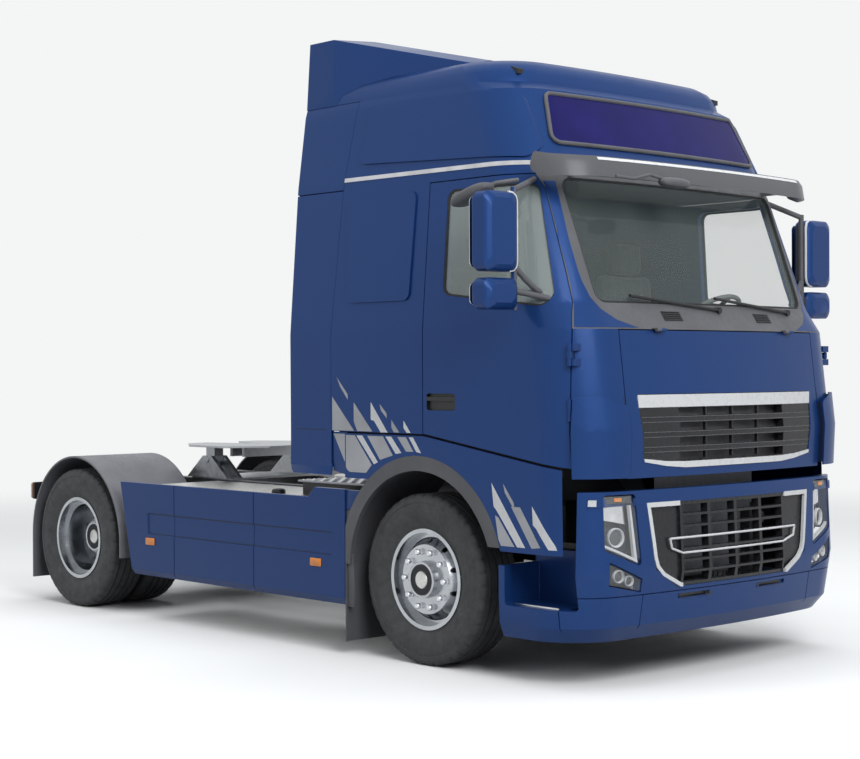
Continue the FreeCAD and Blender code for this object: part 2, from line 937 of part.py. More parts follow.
upper_panel = shared("UpperPanel", raised_form, prism("UpperPanelZone", "side", [
    (ahead(S.upper_panel_rear_bottom), S.upper_panel_rear_bottom_height, S.side_panel_round),
    (ahead(S.upper_panel_rear_top), S.upper_panel_rear_top_height, S.side_panel_round),
    (ahead(S.upper_panel_front_top), S.upper_panel_front_top_height, S.upper_panel_round),
    (ahead(S.upper_panel_front_bottom), S.upper_panel_front_bottom_height, S.side_panel_round)], wide))
lower_panel = shared("LowerPanel", raised_form, prism("LowerPanelZone", "side", [
    (ahead(S.lower_panel_rear_bottom), S.lower_panel_bottom, S.side_panel_round),
    (ahead(S.lower_panel_rear_top), S.lower_panel_top, S.side_panel_round),
    (ahead(S.lower_panel_front_top), S.lower_panel_top, S.side_panel_round),
    (ahead(S.lower_panel_front_bottom), S.lower_panel_bottom, S.side_panel_round)], wide))

rear_zone = box("RearZone", (cab_back, cab_back + S.shell_wall), wide, (S.sill_height, S.trim_height))
node("cab_rear_wall", cut("RearWall", shared("RearShell", shell, rear_zone), recess))
node("cab_sides", cut("Sides", fused("SidesWithPanels", [
    cut("SidesOpen", sides_shell, door_opening), lower_panel]), recess))
roof_zone = box("RoofZone", (cab_back, far_front), wide, (S.trim_height, S.roof_height + S.overrun))
node("cab_roof", cut("Roof", fused("RoofWithPanels", [
    shared("RoofShell", shell, roof_zone), upper_panel]), recess))

front_zone = prism("FrontZone", "side", [
    *door_line[1:], (ahead(S.door_top_front), S.trim_height), (far_front, S.trim_height),
    (far_front, S.belt_height)], wide)
screen_outline = [
    (-S.screen_half_width, S.screen_bottom, S.screen_corner),
    (S.screen_half_width, S.screen_bottom, S.screen_corner),
    (S.screen_top_opening, S.screen_top, S.screen_corner),
    (-S.screen_top_opening, S.screen_top, S.screen_corner)]
screen_reach = (ahead(S.screen_top_front) - S.screen_depth, far_front)
screen_opening = prism("ScreenOpening", "front", screen_outline, screen_reach)
firewall_face = S.shell_wall + S.firewall_gap
firewall_inner = firewall_face + S.firewall_wall
firewall_skin = cut(
    "FirewallSkin",
    cab_solid("FirewallOuter", firewall_face, cab_back, firewall_face, S.overrun),
    cab_solid("FirewallHollow", firewall_inner, cab_back - S.overrun, firewall_inner, S.overrun * 2))
firewall = shared("Firewall", firewall_skin, box(
    "FirewallZone", (ahead(S.door_front_belt) - S.front_depth, far_front),
    (-S.firewall_half_width, S.firewall_half_width), (S.cab_bottom, S.belt_height)))
cowl_shelf = shared("CowlShelf", cut(
    "ShelfSkin", cab_outer, document.getObject("FirewallHollow")), box(
    "ShelfZone", (ahead(S.door_front_belt) - S.front_depth, far_front),
    (-S.firewall_half_width, S.firewall_half_width), (S.belt_height, S.belt_height + S.shelf_wall)))
screen_skin = cut(
    "ScreenSkin", cab_solid("ScreenOuter", S.glass_inset),
    cab_solid("ScreenHollow", S.glass_inset + S.glass_thickness, cab_back - S.overrun,
              S.glass_inset + S.glass_thickness, S.overrun))
node("windscreen", shared("Windscreen", screen_skin, prism(
    "ScreenPane", "front", grown(screen_outline, -S.seat_clearance), screen_reach)))

corner_zone = prism("CornerZone", "side", [
    door_line[0], door_line[1], (far_front, S.belt_height), (far_front, S.corner_panel_bottom),
    (ahead(S.corner_panel_rear), S.corner_panel_bottom)], (S.lid_half_width + S.panel_gap, wide[1]))
hinge_x, hinge_y = ahead(S.hinge_ahead), S.hinge_side
ears, lugs = [], []
for index, height in enumerate([S.lower_hinge_height, S.upper_hinge_height]):
    top = height + S.hinge_length
    ears += [rod(f"HingePin{index}", "z", S.hinge_pin_radius, (height - S.hinge_length,
                                                               top + S.hinge_length), x=hinge_x, y=hinge_y)]
    for end, span in enumerate([(height - S.hinge_length, height - S.hinge_play),
                                (top + S.hinge_play, top + S.hinge_length)]):
        ears += [rod(f"HingeEar{index}{end}", "z", S.hinge_barrel_radius, span, x=hinge_x, y=hinge_y),
                 box(f"HingeEarWeb{index}{end}", (hinge_x, hinge_x + S.hinge_web),
                     (hinge_y - S.hinge_web_depth, hinge_y), span)]
    lugs.append(cut(f"HingeLug{index}", fused(f"HingeLugBody{index}", [
        rod(f"HingeBarrel{index}", "z", S.hinge_barrel_radius, (height, top), x=hinge_x, y=hinge_y),
        box(f"HingeWeb{index}", (hinge_x - S.hinge_web, hinge_x - half_gap),
            (hinge_y - S.hinge_web_depth, hinge_y), (height, top))]),
        rod(f"HingeHole{index}", "z", S.hinge_pin_radius + S.kingpin_clearance,
            (height - S.overrun, top + S.overrun), x=hinge_x, y=hinge_y)))
hinge_room = fused("HingeRoom", [
    rod(f"HingeRoom{index}", "z", S.hinge_barrel_radius + S.hinge_play,
        (height - S.hinge_length - S.hinge_play, height + S.hinge_length * 2 + S.hinge_play),
        x=hinge_x, y=hinge_y)
    for index, height in enumerate([S.lower_hinge_height, S.upper_hinge_height])])
web_room = fused("WebRoom", [
    box(f"WebRoom{index}", (hinge_x - S.hinge_web, hinge_x),
        (hinge_y - S.hinge_web_depth - S.hinge_play, hinge_y),
        (height - S.hinge_play, height + S.hinge_length + S.hinge_play))
    for index, height in enumerate([S.lower_hinge_height, S.upper_hinge_height])])
ear_webs = cut("HingeEars", fused("HingeEarBody", ears), cab_hollow)
vane_outer = S.corner_vane_gap + S.corner_vane_wall
vane = shared("CornerVane", cut(
    "VaneSkin", cab_solid("VaneOuter", -vane_outer),
    cab_solid("VaneInner", -S.corner_vane_gap, cab_back - S.overrun, 0, S.overrun)), prism(
    "VaneZone", "front", [
        (S.corner_vane_inner, S.corner_vane_bottom),
        (S.corner_vane_inner, S.corner_vane_inner_top, S.corner_vane_round),
        (S.corner_vane_knee, S.corner_vane_top), (S.corner_vane_outer, S.corner_vane_top),
        (S.corner_vane_outer, S.corner_vane_bottom)],
    (ahead(S.corner_vane_rear), far_front + S.overrun)))
rib_form = cut("VaneRibForm", cab_solid("VaneRibOuter", -S.vane_rib_tip),
               cab_solid("VaneRibInner", S.vane_rib_root, cab_back - S.overrun, 0, S.overrun))
vane_ribs = shared("VaneRibs", rib_form, fused("VaneRibZones", [
    box(f"VaneRibZone{index}", (ahead(S.corner_vane_rear), far_front), (S.vane_rib_inner, S.vane_rib_outer),
        (height, height + S.vane_rib_height)) for index, height in enumerate([S.vane_rib_low,
            S.vane_rib_high])]))
corner_panel = fused("CornerPanel", [
    cut("CornerShellOpen", shared("CornerShell", shell, cut("CornerClear", corner_zone, door_opening)),
        fused("CornerRooms", [hinge_room, web_room])),
    ear_webs, vane, vane_ribs])
node("corner_panels", pair("CornerPanels", corner_panel))

lid_zone = box("LidZone", (ahead(S.door_front_belt) - S.front_depth, far_front),
               (-S.lid_half_width, S.lid_half_width), (S.cab_bottom, S.belt_height - S.panel_gap))
grille_outline = [
    (-S.grille_half_width, S.grille_top, S.grille_corner),
    (-S.grille_bottom_half_width, S.grille_bottom, S.grille_corner),
    (-S.grille_flat_half_width, S.grille_bottom - S.grille_sag),
    (S.grille_flat_half_width, S.grille_bottom - S.grille_sag),
    (S.grille_bottom_half_width, S.grille_bottom, S.grille_corner),
    (S.grille_half_width, S.grille_top, S.grille_corner)]
grille_reach = (ahead(S.door_front_belt) - S.front_depth, far_front)
lid_axis_x, lid_axis_z = ahead(S.belt_front) + S.lid_axis_ahead, S.belt_height - half_gap
lid_ears, lid_lugs = [], []
for index, side in enumerate([LEFT, RIGHT]):
    middle = side * S.lid_hinge_side
    behind = skin_front(S.lid_hinge_side, S.belt_height) - S.seam_depth
    lid_ears += [rod(f"LidPin{index}", "y", S.lid_pin_radius, (middle - S.hinge_length,
                                                               middle + S.hinge_length / 2),
                     x=lid_axis_x, z=lid_axis_z),
                 rod(f"LidEar{index}", "y", S.lid_barrel_radius,
                     (middle - S.hinge_length, middle - S.hinge_play),
                     x=lid_axis_x, z=lid_axis_z),
                 box(f"LidEarWeb{index}", (behind, lid_axis_x),
                     (middle - S.hinge_length, middle - S.hinge_play),
                     (lid_axis_z + half_gap, lid_axis_z + S.lid_barrel_radius))]
    lid_lugs += [rod(f"LidBarrel{index}", "y", S.lid_barrel_radius, (middle, middle + S.hinge_length),
                     x=lid_axis_x, z=lid_axis_z),
                 box(f"LidWeb{index}", (behind, lid_axis_x), (middle, middle + S.hinge_length),
                     (lid_axis_z - S.lid_barrel_radius, lid_axis_z - half_gap))]
lid_pin_hole = rod("LidPinHole", "y", S.lid_pin_radius + S.kingpin_clearance, (wide[0], wide[1]),
                   x=lid_axis_x, z=lid_axis_z)
lid_panel = shared("LidShell", shell, lid_zone)
lid_body = cut("LidBody", fused("LidParts", [lid_panel, *lid_lugs]), lid_pin_hole)
front_shell = cut("FrontShell", shared("FrontPart", shell, front_zone), screen_opening)
node("cab_front", fused("CabFront", [front_shell, firewall, cowl_shelf, *lid_ears]))
lid = cut("Lid", lid_body, prism(
    "GrilleOpening", "front", grown(grille_outline, S.seat_clearance), grille_reach))
node("front_lid", lid)
grille_plate = shared("GrillePlate", cut(
    "GrilleSkin", cab_solid("GrilleOuter", S.seam_width),
    cab_solid("GrilleHollow", S.shell_wall - S.seam_width, cab_back - S.overrun, S.shell_wall, S.overrun)),
    prism("GrillePane", "front", grille_outline, grille_reach))
slat_span = S.grille_top - S.grille_header - (S.grille_bottom - S.grille_sag + S.grille_lip)
row_height = (slat_span - S.slat_height * S.slat_count) / (S.slat_count + 1)
grille_rows = []
for index in range(SIZES["slat_count"] + 1):
    bottom = S.grille_bottom - S.grille_sag + S.grille_lip + (row_height + S.slat_height) * index
    grille_rows.append(box(f"GrilleRow{index}", grille_reach, (-S.mesh_half_width, S.mesh_half_width),
                           (bottom, bottom + row_height)))
mullion_front = ahead(S.lid_bulge_front) - S.mullion_setback
mullions = [box(f"Mullion{index}", (mullion_front - S.mullion_depth, mullion_front),
                (side * S.mesh_half_width / 2 - S.mullion_width / 2,
                 side * S.mesh_half_width / 2 + S.mullion_width / 2),
                (S.grille_bottom, S.grille_top - S.grille_header / 2))
            for index, side in enumerate([LEFT, 0, RIGHT])]
node("upper_grille", fused("UpperGrille", [
    cut("GrilleSlats", grille_plate, fused("GrilleRows", grille_rows)), *mullions]))

# Doors with their panes.
window_outline = [
    (ahead(S.window_rear), S.window_top, S.window_corner),
    (ahead(S.window_rear), S.window_bottom_rear, S.window_corner),
    (ahead(S.window_sill_front), S.window_bottom_front, S.window_corner),
    (ahead(S.window_front), S.window_knee_height, S.window_corner),
    (ahead(S.window_front_top), S.window_top, S.window_corner)]
door_zone = prism("DoorZone", "side", grown(door_outline, -half_gap), left_half)
window_hole = prism("WindowHole", "side", window_outline, left_half)
door_skin = cut("DoorSkin", shared("DoorShell", shell, door_zone),
                fused("DoorHoles", [window_hole, hinge_room]))
door = fused("DoorLeft", [door_skin, cut("DoorLugs", fused("DoorLugBody", lugs), cab_hollow)])
handle_recess = prism("HandleRecess", "side", [
    (ahead(S.handle_rear), S.handle_bottom, S.handle_corner), (ahead(S.handle_rear), S.handle_top,
                                                               S.handle_corner),
    (ahead(S.handle_front), S.handle_top, S.handle_corner),
    (ahead(S.handle_front), S.handle_bottom, S.handle_corner)],
    (S.cab_half_width - S.handle_recess, wide[1]))
grip_top = S.handle_top - S.handle_grip_drop
handle_grip = box("HandleGrip", (ahead(S.handle_rear) - S.seam_width, ahead(S.handle_front) + S.seam_width),
                  (S.cab_half_width - S.handle_recess / 2, S.cab_half_width), (grip_top - S.handle_grip,
                      grip_top))
door = fused("DoorWithHandle", [cut("DoorRecessed", door, handle_recess), handle_grip])
node("door_left", door)
node("door_right", mirrored("DoorRight", door))
pane = shared("PaneLeft", screen_skin, prism(
    "WindowPane", "side", grown(window_outline, -S.seat_clearance), left_half))
node("door_glass_left", pane)
node("door_glass_right", mirrored("PaneRight", pane))

# Chassis: rails, bumper and lower front.
frame_bottom = S.frame_top - S.rail_height
frame_rear = -overall_length / 2
rail_front = ahead(S.rail_front)
bracket_front = ahead(S.bracket_ahead)
cab_arm_side = (S.frame_half_width + S.panel_gap, S.frame_half_width + S.panel_gap + S.cab_arm_wall)
rail = prism("Rail", "front", [
    (S.frame_half_width, frame_bottom), (S.frame_half_width, S.frame_top),
    (S.frame_half_width - S.rail_flange, S.frame_top),
    (S.frame_half_width - S.rail_flange, S.frame_top - S.rail_wall),
    (S.frame_half_width - S.rail_wall, S.frame_top - S.rail_wall),
    (S.frame_half_width - S.rail_wall, frame_bottom + S.rail_wall),
    (S.frame_half_width - S.rail_flange, frame_bottom + S.rail_wall),
    (S.frame_half_width - S.rail_flange, frame_bottom)], (frame_rear, rail_front))
rail_middle = frame_bottom + S.rail_height / 2
tube_half = S.frame_half_width - S.rail_wall
between_rails = (-tube_half, tube_half)
cross_tubes = [
    rod(f"CrossTube{index}", "y", S.cross_tube_radius, between_rails, x=where, z=rail_middle)
    for index, where in enumerate([
        frame_rear + S.cross_tube_end, rear_axle - S.cross_tube_spread,
        rear_axle + S.cross_tube_spread, ahead(S.skirt_split_front)])]
pivot_x = ahead(S.cab_pivot_ahead)
front_bracket = box("FrontBracket", (rail_front, bracket_front),
                    (S.frame_half_width - S.rail_flange, S.frame_half_width),
                    (S.beam_bottom, S.bracket_top))
cab_pin = rod("CabPin", "y", S.cab_pivot_radius, (S.frame_half_width - S.rail_flange,
                                                  cab_arm_side[1] + S.panel_gap),
              x=pivot_x, z=S.cab_pivot_height)
cab_post = box("CabPost", (cab_back + S.shell_wall, cab_back + S.shell_wall + S.post_width),
               (S.frame_half_width - S.post_width, S.frame_half_width),
               (S.frame_top - S.rail_wall, S.sill_height - S.seat_clearance))
frame_left = fused("FrameLeft", [rail, front_bracket, cab_pin, cab_post])
node("frame", fused("Frame", [frame_left, mirrored("FrameRight", frame_left), *cross_tubes]))

bumper_back = ahead(S.corner_rear)


def bumper_solid(name, inset, reach_down, reach_up, back):
    """Loft through the bands of the bumper and lower front, set in by a wall."""
    levels = [
        (S.bumper_bottom - reach_down, S.bumper_bottom_half_width, ahead(S.bumper_bottom_front)),
        (S.bumper_lip, S.bumper_lip_half_width, ahead(S.bumper_lip_front)),
        (S.bumper_crease, S.cab_half_width, ahead(S.bumper_crease_front)),
        (S.bumper_break, S.cab_half_width, ahead(S.front_overhang)),
        (S.lower_front_top + reach_up, S.cab_half_width, ahead(S.cab_bottom_front)),
    ]
    return shaped(name, Part.makeLoft(
        [plan_section(height, width, front, back, inset) for height, width, front in levels], True, True))


bumper_skin = cut(
    "BumperSkin", bumper_solid("BumperOuter", 0, 0, 0, ahead(S.step_rear)),
    bumper_solid("BumperHollow", S.shell_wall, S.overrun, S.overrun, ahead(S.step_rear) - S.overrun))
bumper_zone = prism("BumperZone", "side", [
    (ahead(S.step_rear), 0), (far_front, 0), (far_front, S.cab_bottom), (bumper_back, S.cab_bottom),
    (bumper_back, S.step_height, S.grille_corner), (ahead(S.step_well_rear), S.step_height, S.grille_corner),
    (ahead(S.step_well_rear), S.step_top), (ahead(S.step_rear), S.step_top)], wide)
lower_grille_outline = [
    (-S.lower_grille_half_width, S.lower_grille_top, S.grille_corner),
    (-S.lower_grille_shoulder_half_width, S.lower_grille_shoulder, S.grille_corner),
    (-S.lower_grille_bottom_half_width, S.lower_grille_bottom, S.grille_corner),
    (S.lower_grille_bottom_half_width, S.lower_grille_bottom, S.grille_corner),
    (S.lower_grille_shoulder_half_width, S.lower_grille_shoulder, S.grille_corner),
    (S.lower_grille_half_width, S.lower_grille_top, S.grille_corner)]
front_reach = (bumper_back - S.front_depth, far_front)
grille_hole = prism("LowerGrilleHole", "front", grown(lower_grille_outline, S.seat_clearance), front_reach)
lamp_outline = [
    (S.lamp_inner_top, S.lamp_top, S.grille_corner), (S.lamp_outer, S.lamp_top, S.grille_corner),
    (S.lamp_outer, S.lamp_bottom_outer, S.grille_corner),
    (S.lamp_inner_bottom, S.lamp_bottom_inner, S.grille_corner)]
fog_outline = [
    (S.fog_inner, S.fog_top_inner), (S.fog_outer, S.fog_top_outer),
    (S.fog_outer, S.fog_bottom_outer), (S.fog_inner, S.fog_bottom_inner)]
lamp_hole = prism("LampHole", "front", grown(lamp_outline, S.seat_clearance), front_reach)
fog_hole = prism("FogHole", "front", grown(fog_outline, S.seat_clearance), front_reach)
lamp_holes = fused("LampHoles", [
    lamp_hole, fog_hole, mirrored("LampHoleRight", lamp_hole), mirrored("FogHoleRight", fog_hole)])
seam_skin = cut("BumperSeamSkin", bumper_solid("BumperSeamOuter", -S.seam_width, S.overrun, S.overrun,
                                                ahead(S.step_rear) - S.overrun),
                bumper_solid("BumperSeamInner", S.seam_depth, S.overrun * 2, S.overrun * 2,
                             ahead(S.step_rear) - S.overrun * 2))
bumper_seams = [
    box("BumperSeam", (bumper_back - S.seam_width, far_front), wide,
        (S.bumper_seam, S.bumper_seam + S.seam_width)),
    *[box(f"BumperSideSeam{index}", front_reach, (side * S.bumper_seam_side,
                                                  side * S.bumper_seam_side + S.seam_width),
          (0, S.bumper_seam)) for index, side in enumerate([LEFT, RIGHT])],
    *[box(f"StepSeam{index}", (ahead(S.step_split), ahead(S.step_split) + S.seam_width),
          (side * S.cab_half_width - S.overrun, side * S.cab_half_width + S.overrun), (0, S.step_height))
      for index, side in enumerate([LEFT, RIGHT])]]
tow_middle = (S.tow_slot_inner + S.tow_slot_outer) / 2
tow_half = (S.tow_slot_outer - S.tow_slot_inner) / 2
tow_front = ahead(S.bumper_crease_front)
tow_slots = [box(f"TowSlot{index}", (tow_front - S.tow_slot_depth, far_front),
                 (side * tow_middle - tow_half, side * tow_middle + tow_half),
                 (S.bumper_crease - S.tow_slot_height, S.bumper_crease)) for index, side in enumerate([LEFT,
                     RIGHT])]
bumper = cut("BumperOpen", cut("BumperPart", shared("BumperShell", bumper_skin, bumper_zone), grille_hole),
             fused("BumperCuts", [lamp_holes, *tow_slots, shared(
                 "BumperGrooves", seam_skin, fused("BumperSeams", bumper_seams))]))
beam = box("UnderrunBeam", (bracket_front, ahead(S.beam_reach)), (-S.frame_half_width, S.frame_half_width),
           (S.beam_bottom, S.beam_top))
node("bumper", fused("Bumper", [bumper, beam]))
insert_skin = cut(
    "InsertSkin", bumper_solid("InsertOuter", S.seam_width, 0, 0, ahead(S.step_rear)),
    bumper_solid("InsertHollow", S.shell_wall - S.seam_width, S.overrun, S.overrun,
                 ahead(S.step_rear) - S.overrun))
lower_pane = shared("LowerGrille", insert_skin, prism("LowerGrillePane", "front", lower_grille_outline,
                                                      front_reach))
mesh_bottom, mesh_top = S.lower_grille_bottom + S.lower_mesh_edge, S.lower_grille_top - S.lower_mesh_edge
lower_row = (mesh_top - mesh_bottom - S.lower_slat_height * S.lower_slat_count) / (S.lower_slat_count + 1)
mesh_side = S.mesh_half_width - S.lower_mesh_edge
lower_column = (mesh_side - S.lower_mullion_width * 3 / 2) / 2
lower_windows = []
for column in range(4):
    left = (lower_column + S.lower_mullion_width) * column - mesh_side
    for row in range(SIZES["lower_slat_count"] + 1):
        bottom = mesh_bottom + (lower_row + S.lower_slat_height) * row
        lower_windows.append(box(f"LowerWindow{column}{row}", front_reach, (left, left + lower_column),
                                 (bottom, bottom + lower_row)))
panel_form = cut("LowerPanelForm", document.getObject("InsertOuter"), bumper_solid(
    "LowerPanelDepth", S.lower_panel_recess, S.overrun, S.overrun, ahead(S.step_rear) - S.overrun))
panel_recess = [box(f"LowerPanelRecess{index}", front_reach, span, (0, S.cab_bottom)) for index,
                span in enumerate([
    (wide[0], -S.mesh_half_width), (S.mesh_half_width, wide[1])])]
node("lower_grille", cut("LowerGrilleOpen", lower_pane, fused("LowerGrilleCuts", [
    *lower_windows, shared("LowerPanelRecesses", panel_form, fused("LowerPanelZones", panel_recess))])))
lamp_panes = [
    shared("HeadLamp", insert_skin, prism("LampPane", "front", lamp_outline, front_reach)),
    shared("FogLamp", insert_skin, prism("FogPane", "front", fog_outline, front_reach))]
rear_lamp = box(
    "RearLamp", (frame_rear, frame_rear + S.rear_lamp_thickness),
    (S.rear_lamp_outer - S.rear_lamp_width, S.rear_lamp_outer),
    (S.rear_lamp_centre_height - S.rear_lamp_height / 2, S.rear_lamp_centre_height + S.rear_lamp_height / 2))
left_lamps = [*lamp_panes, rear_lamp]
node("lamps", group("Lamps", left_lamps + [
    mirrored(f"LampRight{index}", lamp) for index, lamp in enumerate(left_lamps)]))

# Engine, radiator and drive line as plain blocks.
radiator_side = S.frame_half_width - S.rail_flange - S.seat_clearance
node("radiator", box("Radiator", (ahead(S.radiator_front) - S.radiator_thickness, ahead(S.radiator_front)),
                     (-radiator_side, radiator_side), (S.radiator_bottom, S.radiator_top)))
engine_rear = ahead(S.engine_rear)
engine = box("Engine", (engine_rear, engine_rear + S.engine_length),
             (-S.engine_width / 2, S.engine_width / 2), (S.engine_bottom, S.engine_top))
gearbox = box("Gearbox", (engine_rear - S.gearbox_length, engine_rear),
              (-S.gearbox_width / 2, S.gearbox_width / 2),
              (S.engine_bottom - S.gearbox_drop,
               S.engine_bottom - S.gearbox_drop + S.gearbox_height))
shaft_height = S.tyre_radius + S.differential_rise
propshaft = rod("PropShaft", "x", S.propshaft_radius,
                (rear_axle + S.differential_ahead + S.differential_radius + S.seat_clearance,
                 engine_rear - S.gearbox_length), z=shaft_height)
engine_mount = box("EngineMount", (engine_rear + S.engine_length / 2,
                                   engine_rear + S.engine_length / 2 + S.tank_arm_width),
                   (-S.frame_half_width + S.rail_flange + S.seat_clearance,
                    S.frame_half_width - S.rail_flange - S.seat_clearance),
                   (frame_bottom, frame_bottom + S.engine_mount_height))
node("powertrain", fused("Powertrain", [engine, gearbox, propshaft, engine_mount]))

# Front axle: a beam that drops between the kingpin bosses.
beam_top = S.tyre_radius - S.axle_drop
boss_inner = S.kingpin_half_track - S.axle_boss_radius
axle_beam = prism("AxleBeam", "front", [
    (-S.kingpin_half_track, S.tyre_radius + S.axle_beam_height / 2),
    (-S.kingpin_half_track, S.tyre_radius - S.axle_beam_height / 2),
    (-S.beam_drop_half, beam_top - S.axle_beam_height),
    (S.beam_drop_half, beam_top - S.axle_beam_height),
    (S.kingpin_half_track, S.tyre_radius - S.axle_beam_height / 2),
    (S.kingpin_half_track, S.tyre_radius + S.axle_beam_height / 2),
    (S.beam_drop_half, beam_top), (-S.beam_drop_half, beam_top)],
    (front_axle - S.axle_beam_width / 2, front_axle + S.axle_beam_width / 2))
boss_span = (S.tyre_radius - S.axle_boss_height / 2, S.tyre_radius + S.axle_boss_height / 2)
boss = rod("KingpinBoss", "z", S.axle_boss_radius, boss_span, x=front_axle, y=S.kingpin_half_track)
boss_hole = rod("KingpinHole", "z", S.kingpin_radius + S.kingpin_clearance,
                (boss_span[0] - S.overrun, boss_span[1] + S.overrun), x=front_axle, y=S.kingpin_half_track)
beam_body = fused("AxleBody", [axle_beam, boss, mirrored("KingpinBossRight", boss)])
node("front_axle", cut("FrontAxle", beam_body, fused(
    "KingpinHoles", [boss_hole, mirrored("KingpinHoleRight", boss_hole)])))

# Knuckles: a yoke over and under the boss, a stub spindle and a steering arm to the rear.
ear_bottom = boss_span[0] - S.yoke_gap - S.yoke_ear
ear_top = boss_span[1] + S.yoke_gap + S.yoke_ear
plate_inner = S.kingpin_half_track + S.axle_boss_radius + S.yoke_gap
flange_side = S.front_tyre_centre + S.front_disc_offset
yoke_plate = box("YokePlate", (front_axle - S.yoke_half_width, front_axle + S.yoke_half_width),
                 (plate_inner, plate_inner + S.knuckle_plate), (ear_bottom, ear_top))
yoke_ears = [
    box(f"YokeEar{index}", (front_axle - S.yoke_half_width, front_axle + S.yoke_half_width),
        (S.kingpin_half_track - S.axle_boss_radius, plate_inner), (bottom, bottom + S.yoke_ear))
    for index, bottom in enumerate([ear_bottom, boss_span[1] + S.yoke_gap])]
spindle = rod("Spindle", "y", S.hub_bore_radius - S.spindle_clearance,
              (plate_inner + S.knuckle_plate, flange_side + S.front_hub_length),
               x=front_axle, z=S.tyre_radius)
kingpin = rod("Kingpin", "z", S.kingpin_radius, (ear_bottom, ear_top), x=front_axle, y=S.kingpin_half_track)
arm_pin_x = front_axle - S.steering_arm_length
arm_pin_y = S.kingpin_half_track - S.steering_arm_inset
arm_bottom = ear_bottom - S.steering_arm_thickness
steering_arm = prism("SteeringArm", "plan", [
    (front_axle + S.yoke_half_width, S.kingpin_half_track + S.axle_boss_radius),
    (front_axle + S.yoke_half_width, S.kingpin_half_track - S.axle_boss_radius),
    (arm_pin_x - S.tie_rod_eye, arm_pin_y - S.tie_rod_eye),
    (arm_pin_x - S.tie_rod_eye, arm_pin_y + S.tie_rod_eye)], (arm_bottom, ear_bottom))
rod_height = arm_bottom - S.yoke_gap - S.tie_rod_radius
ball_pin = rod("BallPin", "z", S.ball_pin_radius,
               (rod_height - S.tie_rod_radius, arm_bottom), x=arm_pin_x, y=arm_pin_y)
knuckle_common = [yoke_plate, *yoke_ears, spindle, kingpin, steering_arm]
node("knuckle_left", fused("KnuckleLeft", knuckle_common))
knuckle_right = fused("KnuckleRightSource", [*knuckle_common, ball_pin])
node("knuckle_right", mirrored("KnuckleRight", knuckle_right))
tie_bar = rod("TieBar", "y", S.tie_bar_radius, (-(arm_pin_y - S.tie_rod_eye / 2), arm_pin_y),
              x=arm_pin_x, z=rod_height)
tie_eye = rod("TieEye", "z", S.tie_rod_eye, (rod_height - S.tie_rod_radius, rod_height + S.tie_rod_radius),
              x=arm_pin_x, y=-arm_pin_y)
tie_hole = rod("TieHole", "z", S.ball_pin_radius + S.kingpin_clearance,
               (rod_height - S.overrun, rod_height + S.overrun), x=arm_pin_x, y=-arm_pin_y)
left_eye = rod("TieLeftEye", "z", S.tie_rod_eye, (rod_height - S.tie_rod_radius,
                                                  rod_height + S.tie_rod_radius),
               x=arm_pin_x, y=arm_pin_y)
node("tie_rod", cut("TieRod", fused("TieRodBody", [tie_bar, tie_eye, left_eye]), tie_hole))

# Rear axle, leaf springs in front and air springs behind.
tube_end = S.rear_outer_tyre_centre - S.twin_spacing / 2 + S.rear_hub_length
axle_tube = rod("AxleTube", "y", S.axle_tube_radius, (-S.rear_tube_half, S.rear_tube_half),
                x=rear_axle, z=S.tyre_radius)
rear_spindle = rod("RearSpindle", "y", S.hub_bore_radius - S.spindle_clearance, (-tube_end, tube_end),
                   x=rear_axle, z=S.tyre_radius)
differential = rod("Differential", "y", S.differential_radius,
                   (-S.differential_half_width, S.differential_half_width),
                   x=rear_axle + S.differential_ahead, z=S.tyre_radius + S.differential_rise)
node("rear_axle", fused("RearAxle", [axle_tube, rear_spindle, differential]))
leaf_bottom = beam_top
leaf_y = (S.frame_half_width - S.leaf_width, S.frame_half_width)
leaf = prism("LeafPack", "side", [
    (front_axle - S.leaf_half_length, frame_bottom), (front_axle - S.leaf_half_length,
                                                      frame_bottom - S.leaf_pack_height),
    (front_axle - S.axle_beam_width, beam_top), (front_axle + S.axle_beam_width, beam_top),
    (front_axle + S.leaf_half_length, frame_bottom - S.leaf_pack_height), (front_axle + S.leaf_half_length,
        frame_bottom),
    (front_axle + S.axle_beam_width, beam_top + S.leaf_pack_height),
    (front_axle - S.axle_beam_width, beam_top + S.leaf_pack_height)], leaf_y)
bellows = [
    rod(f"Bellows{index}", "z", S.bellows_radius, (S.tyre_radius - S.axle_tube_radius, frame_bottom),
        x=rear_axle + side * S.bellows_offset, y=S.frame_half_width - S.rail_flange / 2)
    for index, side in enumerate([LEFT, RIGHT])]
air_beam = box("AirBeam", (rear_axle - S.bellows_offset - S.bellows_radius,
                           rear_axle + S.bellows_offset + S.bellows_radius),
               leaf_y, (S.tyre_radius - S.axle_tube_radius - S.air_beam_wall,
                        S.tyre_radius - S.axle_tube_radius))
springs = [leaf, *bellows, air_beam]
node("suspension", pair("Suspension", fused("SpringsLeft", springs)))


